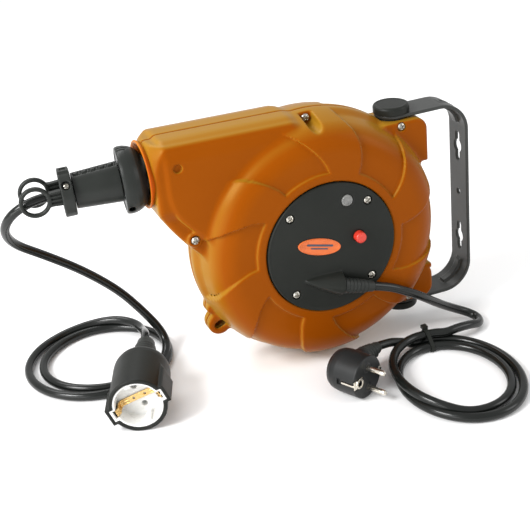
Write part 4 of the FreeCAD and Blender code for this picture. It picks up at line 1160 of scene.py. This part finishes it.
def add_plug():
    body = moulded("plug_housing", plug_field, (-21, -21, -36), (26, 21, 2), 0.5, PLUG)
    dress(body, PLUG_BLACK, "housing", "plug_body", sharp=50)
    pin = [(0, -15), (1.9, -15), (1.9, 0), (2.4, 0.4), (2.4, 15.4), (2.1, 17.6), (1.2, 18.8), (0, 19)]
    one = lathe(rounded_profile(pin, 0.3), 40)
    parts = [(*one, Matrix.Translation((0, CONTACT * side, 0))) for side in (1, -1)]
    pins = mesh_piece("pins_round", *merged(parts), PLUG)
    dress(pins, NICKEL, "housing", "plug_pins")
    near = moulded("clip_near", earth_clip_field, (-21, -6, -15), (-5, 6, 2.5), 0.25, PLUG)
    dress(near, NICKEL, "housing", "plug_earth_clips", sharp=50)
    far = moulded("clip_far", far_clip_field, (15.5, -5, -15), (20.5, 5, 2), 0.3, PLUG)
    dress(far, NICKEL, "housing", "", sharp=50)
    exit_place = PLUG @ Matrix.Translation((0, 0, LEAD_LEVEL)) @ Matrix.Rotation(math.radians(90), 4, "Y")
    sleeve = turned_piece("plug_sleeve", relief_profile(24, 22, 9.2, 5.8, 4), exit_place, 64, 0.35)
    dress(sleeve, MOULDED, "housing", "plug_relief")
    return [body, pins, near, far, sleeve]


# ---------------------------------------------------------------- tie and the run inside the reel
TIE_X, TIE_WIDTH = 79.5, 3.4
TIE_IN, TIE_OUT = CORD / 2 + 0.15, CORD / 2 + 1.35
HEAD_FACES = ((0, 2, 3, 1), (4, 5, 7, 6), (0, 1, 5, 4), (2, 6, 7, 3), (0, 4, 6, 2), (1, 3, 7, 5))


def strands_at(cord, x, low, high):
    """(y, z) of each pass, near the floor, of the cord through a plane of constant x."""
    spots = [co / MM - Vector((REEL_X, 0, 0)) for co in centre_line(cord)]
    found = []
    for a, b in zip(spots, spots[1:]):
        if (a.x - x) * (b.x - x) <= 0 and a.x != b.x:
            spot = a.lerp(b, (x - a.x) / (b.x - a.x))
            if low < spot.y < high and spot.z < FLOOR_Z + 19:
                found.append((spot.y, spot.z))
    return found


def add_tie(cord):
    """Band drawn round the strands, with its small locking head on top."""
    strands = strands_at(cord, TIE_X, -78, -45)
    points, rows = [], []
    for offset, half in ((TIE_IN, 0.5), (TIE_OUT, 0.5), (TIE_OUT, -0.5), (TIE_IN, -0.5)):
        row = []
        for way in ways(96):
            y, z = max(strands, key=lambda s: s[0] * way[0] + s[1] * way[1])
            level = max(FLOOR_Z + 0.05, z + offset * way[1])
            row.append((TIE_X + half * TIE_WIDTH, y + offset * way[0], level))
        rows.append(add_row(points, row))
    faces = bands(rows, closed=True)
    top = max((points[n] for n in rows[1]), key=lambda p: p[2])
    y0, z0 = top[1] + 3.0, top[2] - 0.4
    head = [(TIE_X + sx * 2.5, y0 + sy * 2.6, z0 + sz) for sz in (0,
                                                                  3.0) for sy in (-1, 1) for sx in (-1, 1)]
    corners = add_row(points, head)
    faces += [[corners[n] for n in side] for side in HEAD_FACES]
    return dress(mesh_piece("tie_band", points, faces), BLACK, "housing", "cable_tie")


def add_inner_run():
    """Cable from the winding through the mouth and the stop."""
    line = [Vector((6, 0, OUTLET_Z)), Vector((-110, 0, OUTLET_Z)), Vector((-140, 0, OUTLET_Z - 0.6))]
    line += [STOP_PLACE @ Vector((0, 0, reach)) for reach in (10, 0, -20, -46)]
    points, rows = [], []
    for n, spot in enumerate(line):
        ahead = line[min(n + 1, len(line) - 1)] - line[max(n - 1, 0)]
        turn = frame_of(spot, ahead)
        ring = [turn @ Vector((CORD / 2 * c, CORD / 2 * s, 0)) for c, s in ways(24)]
        rows.append(add_row(points, [tuple(place) for place in ring]))
    run = mesh_piece("run_inside", points, bands(rows) + [rows[0][::-1], rows[-1]])
    dress(run, RUBBER, "stop", "cable_run")


on_output = add_coupler()
on_mains = add_plug() + [add_tie(mains_cord)]
add_inner_run()

round(cord_length(output_cord), 3)
round(cord_length(mains_cord), 3)
